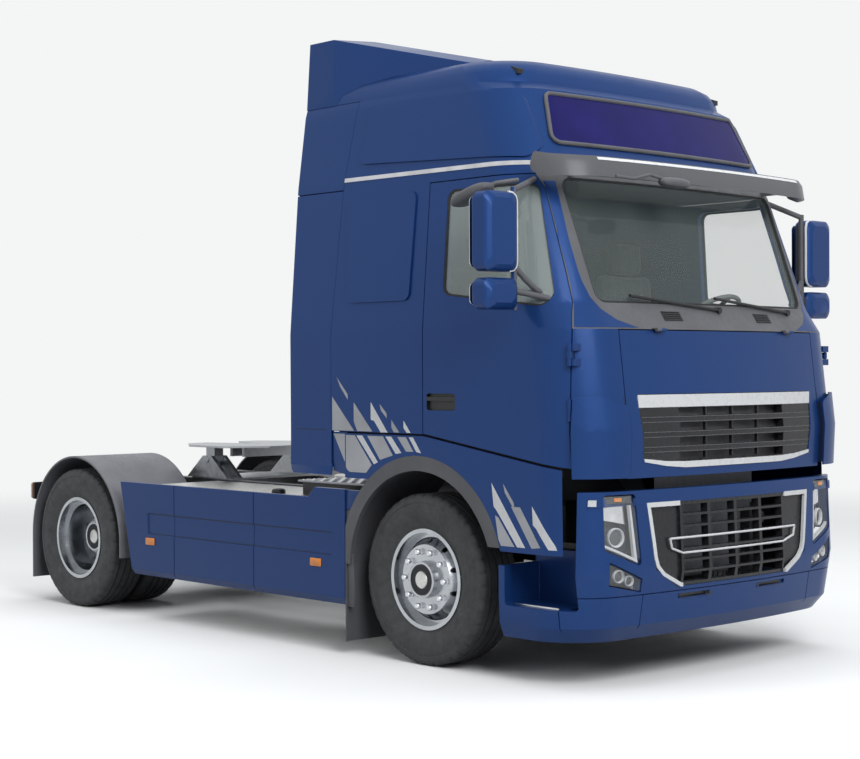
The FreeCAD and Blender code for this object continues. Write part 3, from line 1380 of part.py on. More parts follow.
# Wheels: each tyre is a ring round its rim; the rim carries the disc and the hub.
def tyre(name, side, x):
    """Tyre with a rounded shoulder, in a plane at a distance out from the middle."""
    half, tread = S.tyre_half_width, S.tyre_tread_half_width
    shoulder = S.tyre_radius - S.tyre_shoulder_drop
    bead, bead_top = S.bead_half_width - S.seat_clearance, S.rim_flange_radius + S.seat_clearance
    corners = [
        (-tread, S.tyre_radius), (tread, S.tyre_radius), (half - S.tyre_shoulder_in, shoulder),
        (half, S.tyre_bulge_radius), (bead, bead_top), (bead, S.bead_radius),
        (bead - S.tyre_wall, S.bead_radius),
        (half - S.tyre_wall, S.tyre_bulge_radius), (tread - S.tyre_wall, S.tyre_radius - S.tyre_wall),
        (-tread + S.tyre_wall, S.tyre_radius - S.tyre_wall), (-half + S.tyre_wall, S.tyre_bulge_radius),
        (-bead + S.tyre_wall, S.bead_radius), (-bead, S.bead_radius), (-bead, bead_top),
        (-half, S.tyre_bulge_radius), (-half + S.tyre_shoulder_in, shoulder)]
    return revolved(name, corners, "y", x, side, S.tyre_radius)


def rim(name, side, x):
    """Rim with its flanges, bead seats and well."""
    half, seat, well = S.rim_half_width, S.bead_radius - S.seat_clearance, S.rim_well_radius
    corners = [
        (half, S.rim_flange_radius), (half - S.rim_wall, S.rim_flange_radius),
        (half - S.rim_wall, seat), (S.rim_well_half_width, seat), (S.rim_well_half_width, well),
        (-S.rim_well_half_width, well), (-S.rim_well_half_width, seat), (-half + S.rim_wall, seat),
        (-half + S.rim_wall, S.rim_flange_radius), (-half, S.rim_flange_radius),
        (-half, seat - S.rim_wall), (-S.rim_well_half_width - S.rim_wall, seat - S.rim_wall),
        (-S.rim_well_half_width - S.rim_wall, well - S.rim_wall),
        (S.rim_well_half_width + S.rim_wall, well - S.rim_wall),
        (S.rim_well_half_width + S.rim_wall, seat - S.rim_wall), (half, seat - S.rim_wall)]
    return revolved(name, corners, "y", x, side, S.tyre_radius)


inner_seat = S.rim_well_radius - S.rim_wall


def around(name, radius, circle, x, span, phase=0):
    """Ring of round bars along the axle, as many as the wheel has nuts."""
    made = []
    for index in range(SIZES["nut_count"]):
        turn = 2 * math.pi * (index + phase) / SIZES["nut_count"]
        made.append(rod(f"{name}{index}", "y", radius, span, x=x + circle * math.cos(turn),
                        z=S.tyre_radius + circle * math.sin(turn)))
    return made


front_disc = revolved("FrontDisc", [
    (S.front_disc_offset - S.disc_thickness, S.hub_bore_radius), (S.front_disc_offset, S.hub_bore_radius),
    (S.front_disc_offset, S.disc_flat_radius),
    (S.rim_well_half_width, inner_seat), (S.rim_well_half_width - S.disc_thickness, inner_seat),
    (S.front_disc_offset - S.disc_thickness, S.disc_flat_radius)],
    "y", front_axle, S.front_tyre_centre, S.tyre_radius)
front_hub = revolved("FrontHub", [
    (S.front_hub_inner, S.hub_bore_radius), (S.front_hub_inner, S.hub_radius),
    (S.front_disc_offset + S.front_hub_length, S.hub_radius - S.hub_taper),
    (S.front_disc_offset + S.front_hub_length + S.hub_cap_wall, S.hub_radius - S.hub_taper),
    (S.front_disc_offset + S.front_hub_length + S.hub_cap_wall, 0),
    (S.front_disc_offset + S.front_hub_length + S.seat_clearance, 0),
    (S.front_disc_offset + S.front_hub_length + S.seat_clearance, S.hub_bore_radius)],
    "y", front_axle, S.front_tyre_centre, S.tyre_radius)


nut_circle = S.nut_circle_diameter / 2
front_disc = cut("FrontDiscOpen", front_disc, fused("FrontHandHoles", around(
    "FrontHandHole", S.hand_hole_radius, S.hand_hole_circle, front_axle,
    (S.front_tyre_centre, flange_side + S.overrun), HALF)))
front_wheel = fused("FrontWheel", [
    rim("FrontRim", S.front_tyre_centre, front_axle), front_disc, front_hub,
    *around("FrontNut", S.nut_radius, nut_circle, front_axle, (flange_side, flange_side + S.nut_length))])
node("wheel_front_left", front_wheel)
node("wheel_front_right", mirrored("WheelFrontRight", front_wheel))
front_tyre = tyre("FrontTyre", S.front_tyre_centre, front_axle)
node("tyre_front_left", front_tyre)
node("tyre_front_right", mirrored("TyreFrontRight", front_tyre))
inner_centre = S.rear_outer_tyre_centre - S.twin_spacing
disc_meet = S.rear_outer_tyre_centre - S.twin_spacing / 2
rear_disc = revolved("RearDisc", [
    (-S.disc_thickness, S.hub_bore_radius), (-S.disc_thickness, S.disc_flat_radius),
    (-S.twin_spacing / 2 + S.rim_well_half_width, inner_seat),
    (S.twin_spacing / 2 - S.rim_well_half_width, inner_seat),
    (S.disc_thickness, S.disc_flat_radius), (S.disc_thickness, S.hub_bore_radius)],
    "y", rear_axle, disc_meet, S.tyre_radius)
rear_hub_start = S.rear_tube_half + S.seat_clearance - disc_meet
rear_hub = revolved("RearHub", [
    (rear_hub_start, S.hub_bore_radius), (rear_hub_start, S.rear_hub_radius),
    (S.rear_hub_length, S.rear_hub_radius),
    (S.rear_hub_length + S.hub_cap_wall, S.rear_hub_radius - S.hub_taper),
    (S.rear_hub_length + S.hub_cap_wall, 0),
    (S.rear_hub_length + S.seat_clearance, 0), (S.rear_hub_length + S.seat_clearance, S.hub_bore_radius)],
    "y", rear_axle, disc_meet, S.tyre_radius)
rear_disc = cut("RearDiscOpen", rear_disc, fused("RearHandHoles", around(
    "RearHandHole", S.hand_hole_radius, S.hand_hole_circle, rear_axle,
    (inner_centre, S.rear_outer_tyre_centre), HALF)))
rear_wheel = fused("RearWheel", [
    rim("RearRimOuter", S.rear_outer_tyre_centre, rear_axle), rim("RearRimInner", inner_centre, rear_axle),
    rear_disc, rear_hub, *around("RearNut", S.nut_radius, nut_circle, rear_axle,
                                 (disc_meet + S.disc_thickness,
                                  disc_meet + S.disc_thickness + S.nut_length))])
node("wheels_rear_left", rear_wheel)
node("wheels_rear_right", mirrored("WheelsRearRight", rear_wheel))
rear_tyres = group("RearTyres", [
    tyre("RearTyreOuter", S.rear_outer_tyre_centre, rear_axle), tyre("RearTyreInner", inner_centre,
        rear_axle)])
node("tyres_rear_left", rear_tyres)
node("tyres_rear_right", mirrored("TyresRearRight", rear_tyres))

# Fifth wheel: a plate on a rocking pivot between two pedestals.
coupling_x = rear_axle + S.coupling_ahead_of_axle
plate_bottom = S.coupling_height - S.coupling_plate
plate = prism("CouplingPlate", "plan", [
    (coupling_x + S.coupling_front, S.coupling_nose_half), (coupling_x + S.coupling_front,
                                                            -S.coupling_nose_half),
    (coupling_x + S.coupling_nose_half, -S.coupling_half_width), (coupling_x - S.coupling_ear,
        -S.coupling_half_width),
    (coupling_x - S.coupling_rear, -S.coupling_ramp_outer), (coupling_x - S.coupling_rear,
                                                             -S.coupling_slot_mouth / 2),
    (coupling_x - S.kingpin_jaw_radius, -S.coupling_slot), (coupling_x - S.kingpin_jaw_radius,
                                                            S.coupling_slot),
    (coupling_x - S.coupling_rear, S.coupling_slot_mouth / 2), (coupling_x - S.coupling_rear,
                                                                S.coupling_ramp_outer),
    (coupling_x - S.coupling_ear, S.coupling_half_width), (coupling_x + S.coupling_nose_half,
                                                           S.coupling_half_width)],
    (plate_bottom, S.coupling_height))
jaw_span = (plate_bottom - S.kingpin_jaw_height, S.coupling_height)
jaw = rod("JawBody", "z", S.kingpin_jaw_radius, jaw_span, x=coupling_x)
jaw_seat = rod("JawSeat", "z", S.kingpin_jaw_radius + S.seat_clearance,
               (plate_bottom - S.overrun, S.coupling_height + S.overrun), x=coupling_x)
bore = rod("KingpinBore", "z", S.kingpin_bore_radius,
           (plate_bottom - S.kingpin_jaw_height - S.overrun, S.coupling_height + S.overrun), x=coupling_x)
ribs = [box(f"CouplingRib{index}", (coupling_x + near, coupling_x + near + S.coupling_plate * 2),
            (-S.rib_half_width, S.rib_half_width), (plate_bottom - S.coupling_rim, plate_bottom))
        for index, near in enumerate([S.kingpin_jaw_radius + S.seat_clearance, S.coupling_front / 2])]
pivot_boss = [rod(f"PivotBoss{index}", "y", S.pedestal_cap_radius,
                  (side * S.pivot_boss_middle - S.pivot_boss_length / 2,
                   side * S.pivot_boss_middle + S.pivot_boss_length / 2),
                  x=coupling_x, z=S.coupling_pivot_height) for index, side in enumerate([LEFT, RIGHT])]
pivot_lugs = [box(f"PivotLug{index}", (coupling_x - S.pedestal_cap_radius,
                                       coupling_x + S.pedestal_cap_radius),
                  (side * S.pivot_boss_middle - S.pivot_boss_length / 2,
                   side * S.pivot_boss_middle + S.pivot_boss_length / 2),
                  (S.coupling_pivot_height, plate_bottom)) for index, side in enumerate([LEFT, RIGHT])]
pivot_hole = rod("PivotHole", "y", S.coupling_pivot_radius + S.kingpin_clearance,
                 (-S.coupling_half_width, S.coupling_half_width), x=coupling_x, z=S.coupling_pivot_height)
coupling = cut("Coupling", fused("CouplingBody", [plate, *ribs, *pivot_boss, *pivot_lugs]),
               fused("CouplingHoles", [jaw_seat, pivot_hole]))
node("fifth_wheel", coupling)
node("kingpin_jaw", cut("Jaw", jaw, bore))
mount_top = S.frame_top + S.mounting_plate
base_plate = box("MountingPlate", (coupling_x - S.pedestal_half_length, coupling_x + S.pedestal_half_length),
                 (-S.frame_half_width, S.frame_half_width), (S.frame_top, mount_top))
pedestals, pivots = [], []
for index, side in enumerate([LEFT, RIGHT]):
    near = S.pivot_boss_middle + S.pivot_boss_length / 2 + S.seat_gap
    spans = [(S.pivot_boss_middle - S.pivot_boss_length / 2 - S.seat_gap - S.pedestal_thickness / 2,
              S.pivot_boss_middle - S.pivot_boss_length / 2 - S.seat_gap),
             (near, near + S.pedestal_thickness / 2)]
    for cheek, span in enumerate(spans):
        ordered = span if side == LEFT else (-span[1], -span[0])
        pedestals.append(prism(f"Pedestal{index}{cheek}", "side", [
            (coupling_x - S.pedestal_half_length, mount_top), (coupling_x + S.pedestal_half_length,
                                                               mount_top),
            (coupling_x + S.pedestal_cap_radius, S.coupling_pivot_height + S.pedestal_cap_radius / 2),
            (coupling_x - S.pedestal_cap_radius, S.coupling_pivot_height + S.pedestal_cap_radius / 2)],
            ordered))
    pin = (S.pivot_boss_middle - S.pivot_boss_length, S.pivot_boss_middle + S.pivot_boss_length)
    pivots.append(rod(f"PivotPin{index}", "y", S.coupling_pivot_radius,
                      pin if side == LEFT else (-pin[1], -pin[0]), x=coupling_x, z=S.coupling_pivot_height))
node("coupling_base", fused("CouplingBase", [base_plate, *pedestals, *pivots]))

# Fuel tanks, catwalk and side skirts.
tank_outer = S.cab_half_width - S.skirt_wall - S.seat_clearance
tank = prism("Tank", "front", [
    (S.tank_inner, S.tank_bottom, S.tank_corner), (tank_outer, S.tank_bottom, S.tank_corner),
    (tank_outer, S.tank_top, S.tank_corner), (S.tank_inner, S.tank_top, S.tank_corner)],
    (ahead(S.tank_rear), ahead(S.tank_front)))
tank_arms = [box(f"TankArm{index}", (ahead(where), ahead(where) + S.tank_arm_width),
                 (S.frame_half_width, S.tank_inner), (frame_bottom, S.frame_top - S.rail_wall))
             for index, where in enumerate([S.skirt_split_rear, S.skirt_split_front, S.skirt_band_front])]
node("fuel_tanks", pair("FuelTanks", fused("TankLeft", [tank, *tank_arms])))
catwalk = box("Catwalk", (ahead(S.catwalk_rear), ahead(S.catwalk_front)),
              (-S.catwalk_half_width, S.catwalk_half_width),
              (S.catwalk_height - S.catwalk_thickness, S.catwalk_height))
catwalk_feet = [box(f"CatwalkFoot{index}", (ahead(where), ahead(where) + S.tank_arm_width),
                    (S.frame_half_width - S.rail_flange, S.frame_half_width), (S.frame_top,
                        S.catwalk_height - S.catwalk_thickness))
                for index, where in enumerate([S.catwalk_rear, S.catwalk_front - S.tank_arm_width])]
node("catwalk", fused("CatwalkBody", [catwalk, *catwalk_feet,
     *[mirrored(f"CatwalkFootRight{index}", foot) for index, foot in enumerate(catwalk_feet)]]))
skirt_inner = S.cab_half_width - S.skirt_wall
skirt = prism("SkirtPanel", "side", [
    (ahead(S.skirt_front), S.skirt_bottom), (ahead(S.skirt_front), S.skirt_top),
    (ahead(S.skirt_rear_top), S.skirt_top), (ahead(S.skirt_rear_bottom), S.skirt_bottom)],
    (skirt_inner, S.cab_half_width))
band = box("SkirtBand", (ahead(S.skirt_band_rear), ahead(S.skirt_band_front)),
           (S.cab_half_width - S.skirt_band_depth, wide[1]), (S.skirt_band_bottom, S.skirt_band_top))
seams = [box(f"SkirtSeam{index}", (ahead(where) - S.seam_width / 2, ahead(where) + S.seam_width / 2),
             (S.cab_half_width - S.seam_depth, wide[1]), (0, S.cab_bottom))
         for index, where in enumerate([S.skirt_split_front, S.skirt_split_rear])]
skirt_tuck = prism("SkirtTuck", "front", [
    (S.cab_half_width, S.skirt_bottom + S.skirt_tuck_height),
    (S.cab_half_width - S.skirt_tuck, S.skirt_bottom), (S.cab_half_width - S.skirt_tuck, 0),
    (wide[1], 0), (wide[1], S.skirt_bottom + S.skirt_tuck_height)],
    (ahead(S.skirt_rear_top) - S.overrun, ahead(S.skirt_front) + S.overrun))
skirt_step = prism("SkirtStep", "side", [
    (ahead(S.skirt_step_rear), S.skirt_top), (ahead(S.skirt_front), S.skirt_top),
    (ahead(S.skirt_front), S.skirt_top + S.skirt_step_height),
    (ahead(S.skirt_step_rear) + S.skirt_step_height, S.skirt_top + S.skirt_step_height)], (skirt_inner,
        S.cab_half_width))
node("side_skirts", pair("SideSkirts", fused("SkirtLeft", [
    cut("SkirtCut", skirt, fused("SkirtCuts", [band, *seams, skirt_tuck])), skirt_step])))

# Rear fenders: a cylindrical guard over the twin tyres with a flap behind.
fender_y = (S.rear_fender_inner, S.cab_half_width)


def ring(name, plane_axis, x, z, inner, outer, span):
    return cut(name, rod(name + "Outer", plane_axis, outer, span, x=x, z=z),
               rod(name + "Inner", plane_axis, inner, (span[0] - S.overrun, span[1] + S.overrun), x=x, z=z))


guard_outer = S.rear_fender_radius
guard = shared("RearGuard", ring("RearRing", "y", rear_axle, S.tyre_radius,
                                 guard_outer - S.rear_fender_wall, guard_outer, fender_y),
               box("RearGuardZone", (rear_axle - S.screen_depth, rear_axle + S.screen_depth), fender_y,
                   (S.tyre_radius, S.reach / 2)))
guard_legs = [box("RearFlap", (rear_axle - guard_outer, rear_axle - guard_outer + S.rear_fender_wall),
                  fender_y,
                  (S.rear_flap_bottom, S.tyre_radius)),
              box("RearGuardLeg", (rear_axle + guard_outer - S.rear_fender_wall, rear_axle + guard_outer),
                  fender_y,
                  (S.guard_leg_bottom, S.tyre_radius))]
lamp_arm = box("LampArm", (frame_rear, frame_rear + S.rear_lamp_thickness),
               (S.frame_half_width, S.rear_lamp_outer - S.rear_lamp_width),
               (S.rear_lamp_centre_height - S.guard_arm_radius,
                S.rear_lamp_centre_height + S.guard_arm_radius))
guard_bridge = box("GuardBridge", (frame_rear + S.rear_lamp_thickness, rear_axle - S.guard_bridge_reach),
                   (S.rear_fender_inner, S.rear_fender_inner + S.tank_arm_width),
                   (S.rear_lamp_centre_height - S.guard_arm_radius,
                    S.rear_lamp_centre_height + S.guard_arm_radius))
guard_left = fused("GuardLeft", [guard, *guard_legs, lamp_arm, guard_bridge])
node("rear_fenders", pair("RearFenders", guard_left))

# Front fenders: dark arch and liner with a flap, and painted panels between arch and bumper.
arch_x, arch_z = ahead(S.arch_centre_ahead), S.arch_centre_height
liner_x = ahead(S.liner_ahead)
fender_top_line = [
    (ahead(S.skirt_front) + S.panel_gap, S.fender_rear_bottom),
    (ahead(S.skirt_front) + S.panel_gap, S.sill_height - S.sill_gap),
    (ahead(S.door_rear), S.sill_height - S.sill_gap),
    (ahead(S.fender_front), S.fender_front_top), (ahead(S.fender_front), S.fender_bottom)]
fender_span = (S.cab_half_width - S.fender_wall, S.cab_half_width)
arch_tool = rod("ArchTool", "y", S.arch_radius, (fender_span[0] - S.overrun, wide[1]), x=arch_x, z=arch_z)
fender_plate = prism("FenderPlate", "side", [*fender_top_line,
                                             (ahead(S.skirt_front) + S.panel_gap,
                                              S.fender_bottom)], fender_span)
fender_cap = shared("FenderCap", fender_plate, bumper_solid("FenderForm", 0, 0, S.cab_bottom,
                                                            ahead(S.skirt_front) - S.overrun))
fender_front_panel = cut("FenderPanel", fender_cap, fused("FenderCuts", [arch_tool, box(
    "FenderRearCut", (ahead(S.skirt_front) - S.overrun, arch_x), (0, wide[1]), (0, S.fender_rear_bottom))]))
node("fender_panels", pair("FenderPanels", fender_front_panel))
arch_ring = ring("ArchRing", "y", arch_x, arch_z, S.arch_opening_radius, S.arch_radius - S.seat_clearance,
                 fender_span)
liner_span = (S.liner_inner, S.cab_half_width - S.fender_wall)
liner_ring = ring("LinerRing", "y", liner_x, arch_z, S.liner_radius, S.liner_radius + S.liner_wall,
                  liner_span)
upper_zone = prism("ArchZone", "side", [
    (ahead(S.skirt_front) + S.panel_gap, S.arch_end_height), (arch_x, S.arch_end_height),
    (arch_x, S.arch_front_end), (far_front, S.arch_front_end), (far_front, S.belt_height),
    (ahead(S.skirt_front) + S.panel_gap, S.belt_height)], (0, wide[1]))
fender_arm = rod("FenderArm", "y", S.guard_arm_radius, (S.frame_half_width, S.liner_inner + S.tank_arm_width),
                 x=liner_x - S.liner_radius + S.guard_arm_radius, z=S.guard_arm_height)
flap = box("FrontFlap", (liner_x - S.liner_radius - S.liner_wall,
                         liner_x - S.liner_radius + S.flap_thickness - S.liner_wall),
           (S.liner_inner, S.cab_half_width), (S.flap_bottom, S.arch_end_height))
node("front_fenders", pair("FrontFenders", fused("ArchLeft", [
    shared("ArchPart", fused("ArchBody", [arch_ring, liner_ring]), upper_zone), flap, fender_arm])))

# Step boxes below the doors.
step_back = ahead(S.step_rear)
step_outer = S.bumper_lip_half_width - S.shell_wall - S.seat_clearance
step_low_outer = S.bumper_bottom_half_width - S.shell_wall - S.seat_clearance
step_top = box("StepTop", (step_back, ahead(S.step_split)), (S.cab_half_width - S.step_depth, step_outer),
               (S.step_height - S.step_tread, S.step_height))
step_wall = box("StepWall", (step_back, ahead(S.step_split)),
                (S.cab_half_width - S.step_depth - S.step_tread, S.cab_half_width - S.step_depth),
                (S.step_bottom, S.fender_bottom))
step_low = box("StepLow", (step_back, ahead(S.step_split)), (S.cab_half_width - S.step_depth, step_low_outer),
               (S.step_bottom, S.step_bottom + S.step_tread))
step_sides = box("StepSide", (step_back, step_back + S.step_tread),
                 (S.cab_half_width - S.step_depth, step_outer),
                 (S.bumper_lip, S.step_top))
step_arm = box("StepArm", (step_back + S.step_tread, step_back + S.step_tread + S.tank_arm_width),
               (S.frame_half_width, S.cab_half_width - S.step_depth - S.step_tread),
               (S.step_top - S.tank_arm_width, S.step_top))
step_room = bumper_solid("StepRoom", S.shell_wall + S.seat_clearance, S.overrun, S.overrun,
                         ahead(S.step_rear) - S.overrun)
node("step_boxes", pair("StepBoxes", shared(
    "StepLeft", fused("StepBody", [step_top, step_wall, step_low, step_sides, step_arm]), step_room)))

# Inside the cab.
floor_top = S.sill_height + S.floor_thickness
floor_rear = shared("FloorRear", document.getObject("CabHollow"), box(
    "FloorRearZone", (cab_back, ahead(S.door_rear) - S.panel_gap), wide, (S.sill_height, floor_top)))
inner_form = cab_solid("InnerForm", firewall_inner + S.seat_clearance, cab_back, firewall_inner, S.overrun)
floor_front = shared("FloorFront", inner_form, box(
    "FloorFrontZone", (cab_back, far_front), (-S.floor_half_width, S.floor_half_width), (S.sill_height,
        floor_top)))
tunnel = box("Tunnel", (engine_rear, ahead(S.dash_rear)), (-S.tunnel_half_width, S.tunnel_half_width),
             (floor_top, floor_top + S.tunnel_height))
arm_top = ahead(S.cab_arm_top_ahead)
cab_arm = cut("CabArm", fused("CabArmBody", [
    prism("CabArmPlate", "side", [
        (pivot_x - S.cab_arm_width / 2, S.cab_pivot_height), (pivot_x + S.cab_arm_width / 2,
                                                              S.cab_pivot_height),
        (arm_top + S.cab_arm_width, S.sill_height), (arm_top - S.cab_arm_width,
                                                     S.sill_height)], cab_arm_side),
    rod("CabArmEye", "y", S.cab_arm_width / 2, cab_arm_side, x=pivot_x, z=S.cab_pivot_height)]),
    rod("CabArmHole", "y", S.cab_pivot_radius + S.kingpin_clearance,
        (cab_arm_side[0] - S.overrun, cab_arm_side[1] + S.overrun), x=pivot_x, z=S.cab_pivot_height))
bunk_back = cab_back + S.shell_wall + S.bunk_rear_gap
chest = box("BunkChest", (bunk_back, bunk_back + S.bunk_width), (-S.bunk_half_width, S.bunk_half_width),
            (floor_top, S.bunk_bottom))
node("cab_floor", fused("CabFloor", [floor_rear, floor_front, tunnel, chest, cab_arm,
                                     mirrored("CabArmRight", cab_arm)]))
dash = shared("Dash", document.getObject("InnerForm"), prism("DashZone", "side", [
    (ahead(S.dash_rear) + S.dash_undercut, S.dash_bottom), (far_front, S.dash_bottom), (far_front,
        S.dash_top),
    (ahead(S.dash_rear) + S.dash_undercut, S.dash_top), (ahead(S.dash_rear), S.dash_top - S.dash_undercut),
    (ahead(S.dash_rear), S.dash_bottom + S.dash_undercut)], (-S.dash_half_width, S.dash_half_width)))
column_turn = FreeCAD.Rotation(AXES["y"], -SIZES["column_tilt"])
wheel_x, wheel_z = ahead(S.steering_wheel_ahead), S.steering_wheel_height
column_hole = rod("ColumnHole", "z", S.column_radius / 2 + S.column_clearance,
                  (-S.column_length - S.overrun, 0))
column_hole = place(fused("ColumnBore", [column_hole, rod(
    "ColumnMouth", "z", S.column_radius, (-S.column_radius, 0))]),
    wheel_x, S.seat_half_spacing, wheel_z, column_turn)
node("dashboard", cut("Dashboard", dash, column_hole))
seat_x = ahead(S.seat_ahead)
seat_y = (S.seat_half_spacing - S.seat_width / 2, S.seat_half_spacing + S.seat_width / 2)
seat_parts = [
    box("SeatBase", (seat_x - S.seat_length * S.seat_base_share, seat_x + S.seat_length * S.seat_base_share),
        (S.seat_half_spacing - S.seat_width * S.seat_base_share,
         S.seat_half_spacing + S.seat_width * S.seat_base_share),
        (floor_top, floor_top + S.seat_height - S.cushion_thickness)),
    box("SeatCushion", (seat_x - S.seat_length / 2, seat_x + S.seat_length / 2), seat_y,
        (floor_top + S.seat_height - S.cushion_thickness, floor_top + S.seat_height)),
    box("SeatBack", (seat_x - S.seat_length / 2 - S.seat_back_thickness, seat_x - S.seat_length / 2), seat_y,
        (floor_top + S.seat_height - S.cushion_thickness, floor_top + S.seat_height + S.seat_back_height))]
node("seats", pair("Seats", fused("SeatLeft", seat_parts)))
node("bunk", box("Bunk", (bunk_back, bunk_back + S.bunk_width), (-S.bunk_half_width, S.bunk_half_width),
                 (S.bunk_bottom, S.bunk_bottom + S.bunk_thickness)))
grip = document.addObject("Part::Torus", "SteeringGrip")
bind(grip, Radius1=S.steering_wheel_radius, Radius2=S.steering_wheel_grip)
spokes = [box("SteeringSpoke", (-S.steering_wheel_radius, S.steering_wheel_radius),
              (-S.column_radius / 2, S.column_radius / 2), (-S.steering_wheel_grip / 2,
                                                            S.steering_wheel_grip / 2)),
          rod("SteeringHub", "z", S.column_radius * 2, (-S.steering_wheel_grip, S.steering_wheel_grip))]
column = rod("SteeringShaft", "z", S.column_radius / 2, (-S.column_length, 0))
wheel_body = fused("SteeringWheel", [grip, *spokes, column])
place(wheel_body, wheel_x, S.seat_half_spacing, wheel_z, column_turn)
node("steering_wheel", wheel_body)

# Roof deflector, sun visor, sign panel and marker lamps.
roof_edge = S.roof_height - S.roof_edge_radius + S.seat_clearance


def deflector_section(base, base_x, top_x, half, side_top, crown_half, crown):
    """Wire of the deflector's outline seen from behind, in a plane that may lean."""
    lean = (top_x - base_x) / (crown - base)
    corners = [(half, base), (half, side_top), (crown_half, crown)]
    points = [VECTOR(float(base_x + lean * (z - base)), float(y), float(z)) for y, z in corners]
    points += [VECTOR(point.x, -point.y, point.z) for point in reversed(points)]
    return Part.makePolygon(points + points[:1])


def between(share, first, last):
    return first + (last - first) * share


def deflector_run(name, base, inset, reach, share):
    """Loft from the rear edge over the crest towards the nose, set in by a wall."""
    tops = [(S.deflector_half_width, S.deflector_nose_half_width),
            (S.deflector_side_height, S.deflector_nose_side_height),
            (S.deflector_crown_half_width, S.deflector_nose_crown_half_width),
            (S.deflector_height, S.deflector_nose_height)]
    crest, nose = ([between(part, *top) - inset for top in tops] for part in (0, share))
    crest_x = ahead(S.deflector_crest)
    nose_x = ahead(between(share, S.deflector_crest, S.deflector_front))
    return shaped(name, Part.makeLoft([
        deflector_section(base, ahead(S.deflector_foot_rear) - reach, ahead(S.deflector_rear) - reach,
                          *crest),
        deflector_section(base, crest_x, crest_x, *crest),
        deflector_section(base, nose_x, nose_x, *nose)], True, True))


deflector = cut("Deflector", deflector_run("DeflectorForm", roof_edge, 0, 0, 1), fused("DeflectorCuts", [
    cab_solid("DeflectorSeat", -S.seat_clearance, cab_back, 0, S.overrun),
    deflector_run("DeflectorHollow", roof_edge - S.overrun, S.fairing_wall, S.overrun,
                  S.deflector_hollow_share)]))
node("roof_deflector", deflector)
def visor_solid(name, inset, reach_over):
    """Loft through the levels of the sun visor, which wraps round the cab's corners."""
    levels = [
        (S.visor_bottom - reach_over, S.visor_half_width, ahead(S.visor_bottom_front)),
        (S.visor_middle, S.visor_half_width, ahead(S.visor_front)),
        (S.visor_top + reach_over, S.visor_top_half_width, ahead(S.visor_top_front))]
    return shaped(name, Part.makeLoft(
        [plan_section(height, width, front, cab_back - reach_over, inset) for height, width, front in levels],
        True, True))


visor_front = ahead(S.visor_bottom_front) + S.overrun
visor_zone = prism("VisorZone", "side", [
    (ahead(S.visor_rear), S.visor_rear_bottom, S.visor_round), (ahead(S.visor_knee), S.visor_bottom),
    (visor_front, S.visor_bottom), (visor_front, S.visor_top),
    (ahead(S.visor_rear), S.visor_top, S.visor_round)], wide)
visor_outer = visor_solid("VisorOuter", 0, 0)
visor_inner = visor_solid("VisorInner", S.visor_wall, S.overrun)
visor_feet = [box(f"VisorFoot{index}", (ahead(S.screen_top_front) - S.visor_reach,
                                        ahead(S.screen_top_front) + S.visor_reach - S.visor_foot_sink),
                  (side * S.visor_foot - S.visor_wall, side * S.visor_foot + S.visor_wall),
                  (S.screen_top + S.visor_wall, S.screen_top + S.visor_wall * 3))
              for index, side in enumerate([LEFT, RIGHT])]
visor_shell = shared("VisorShell", cut("VisorSkin", visor_outer, visor_inner), visor_zone)
visor_foot_room = cut("VisorFootRoom", visor_solid("VisorFootReach", S.visor_wall * HALF, 0),
                      document.getObject("DeflectorSeat"))
node("sun_visor", fused("SunVisor", [
    visor_shell, shared("VisorFeet", fused("VisorFeetBody", visor_feet), visor_foot_room)]))
sign_outline = [
    (-S.sign_half_width_bottom, S.sign_bottom, S.sign_corner), (S.sign_half_width_bottom, S.sign_bottom,
                                                                S.sign_corner),
    (S.sign_half_width_top, S.sign_top, S.sign_corner), (-S.sign_half_width_top, S.sign_top, S.sign_corner)]
node("sign_panel", shared("SignPanel", cut("SignSkin", cab_solid("SignOuter", -S.sign_thickness, cab_back,
    0, S.overrun),
     document.getObject("DeflectorSeat")), prism("SignZone", "front", sign_outline,
                                                 (cab_back + S.screen_depth, far_front))))
markers = [prism(f"Marker{index}", "side", [
    (ahead(S.marker_ahead) - S.marker_length, S.marker_bottom), (ahead(S.marker_ahead), S.marker_bottom),
    (ahead(S.marker_ahead), S.marker_bottom + S.marker_height / 2),
    (ahead(S.marker_ahead) - S.marker_length, S.marker_bottom + S.marker_height)],
    (side * S.marker_half_spacing - S.marker_width / 2, side * S.marker_half_spacing + S.marker_width / 2))
    for index, side in enumerate([LEFT, RIGHT])]
node("roof_lamps", cut("RoofLamps", fused("RoofLampBody", markers), document.getObject("DeflectorSeat")))

# Wipers parked low on the screen.
wiper_parts = []
for index, pivot_y in enumerate([S.wiper_pivot_left, S.wiper_pivot_right]):
    tip_y = pivot_y - S.wiper_length
    root = skin_front(pivot_y, S.wiper_height)
    lift = S.wiper_radius * 2
    wiper_parts.append(cut(f"Wiper{index}", fused(f"WiperBody{index}", [
        bar(f"WiperSpindle{index}", (root - lift, pivot_y, S.wiper_height),
            (root + lift + S.wiper_radius, pivot_y, S.wiper_height), S.wiper_radius * 2),
        bar(f"WiperArm{index}", (root + lift, pivot_y, S.wiper_height),
            (skin_front(tip_y, S.wiper_tip_height) + lift, tip_y, S.wiper_tip_height), S.wiper_radius)]),
        document.getObject("DeflectorSeat")))
node("wipers", group("Wipers", wiper_parts))

# Mirrors carried by the doors.
mirror_rear, mirror_front = (ahead(S.mirror_ahead) + side * S.mirror_depth * HALF for side in (RIGHT, LEFT))


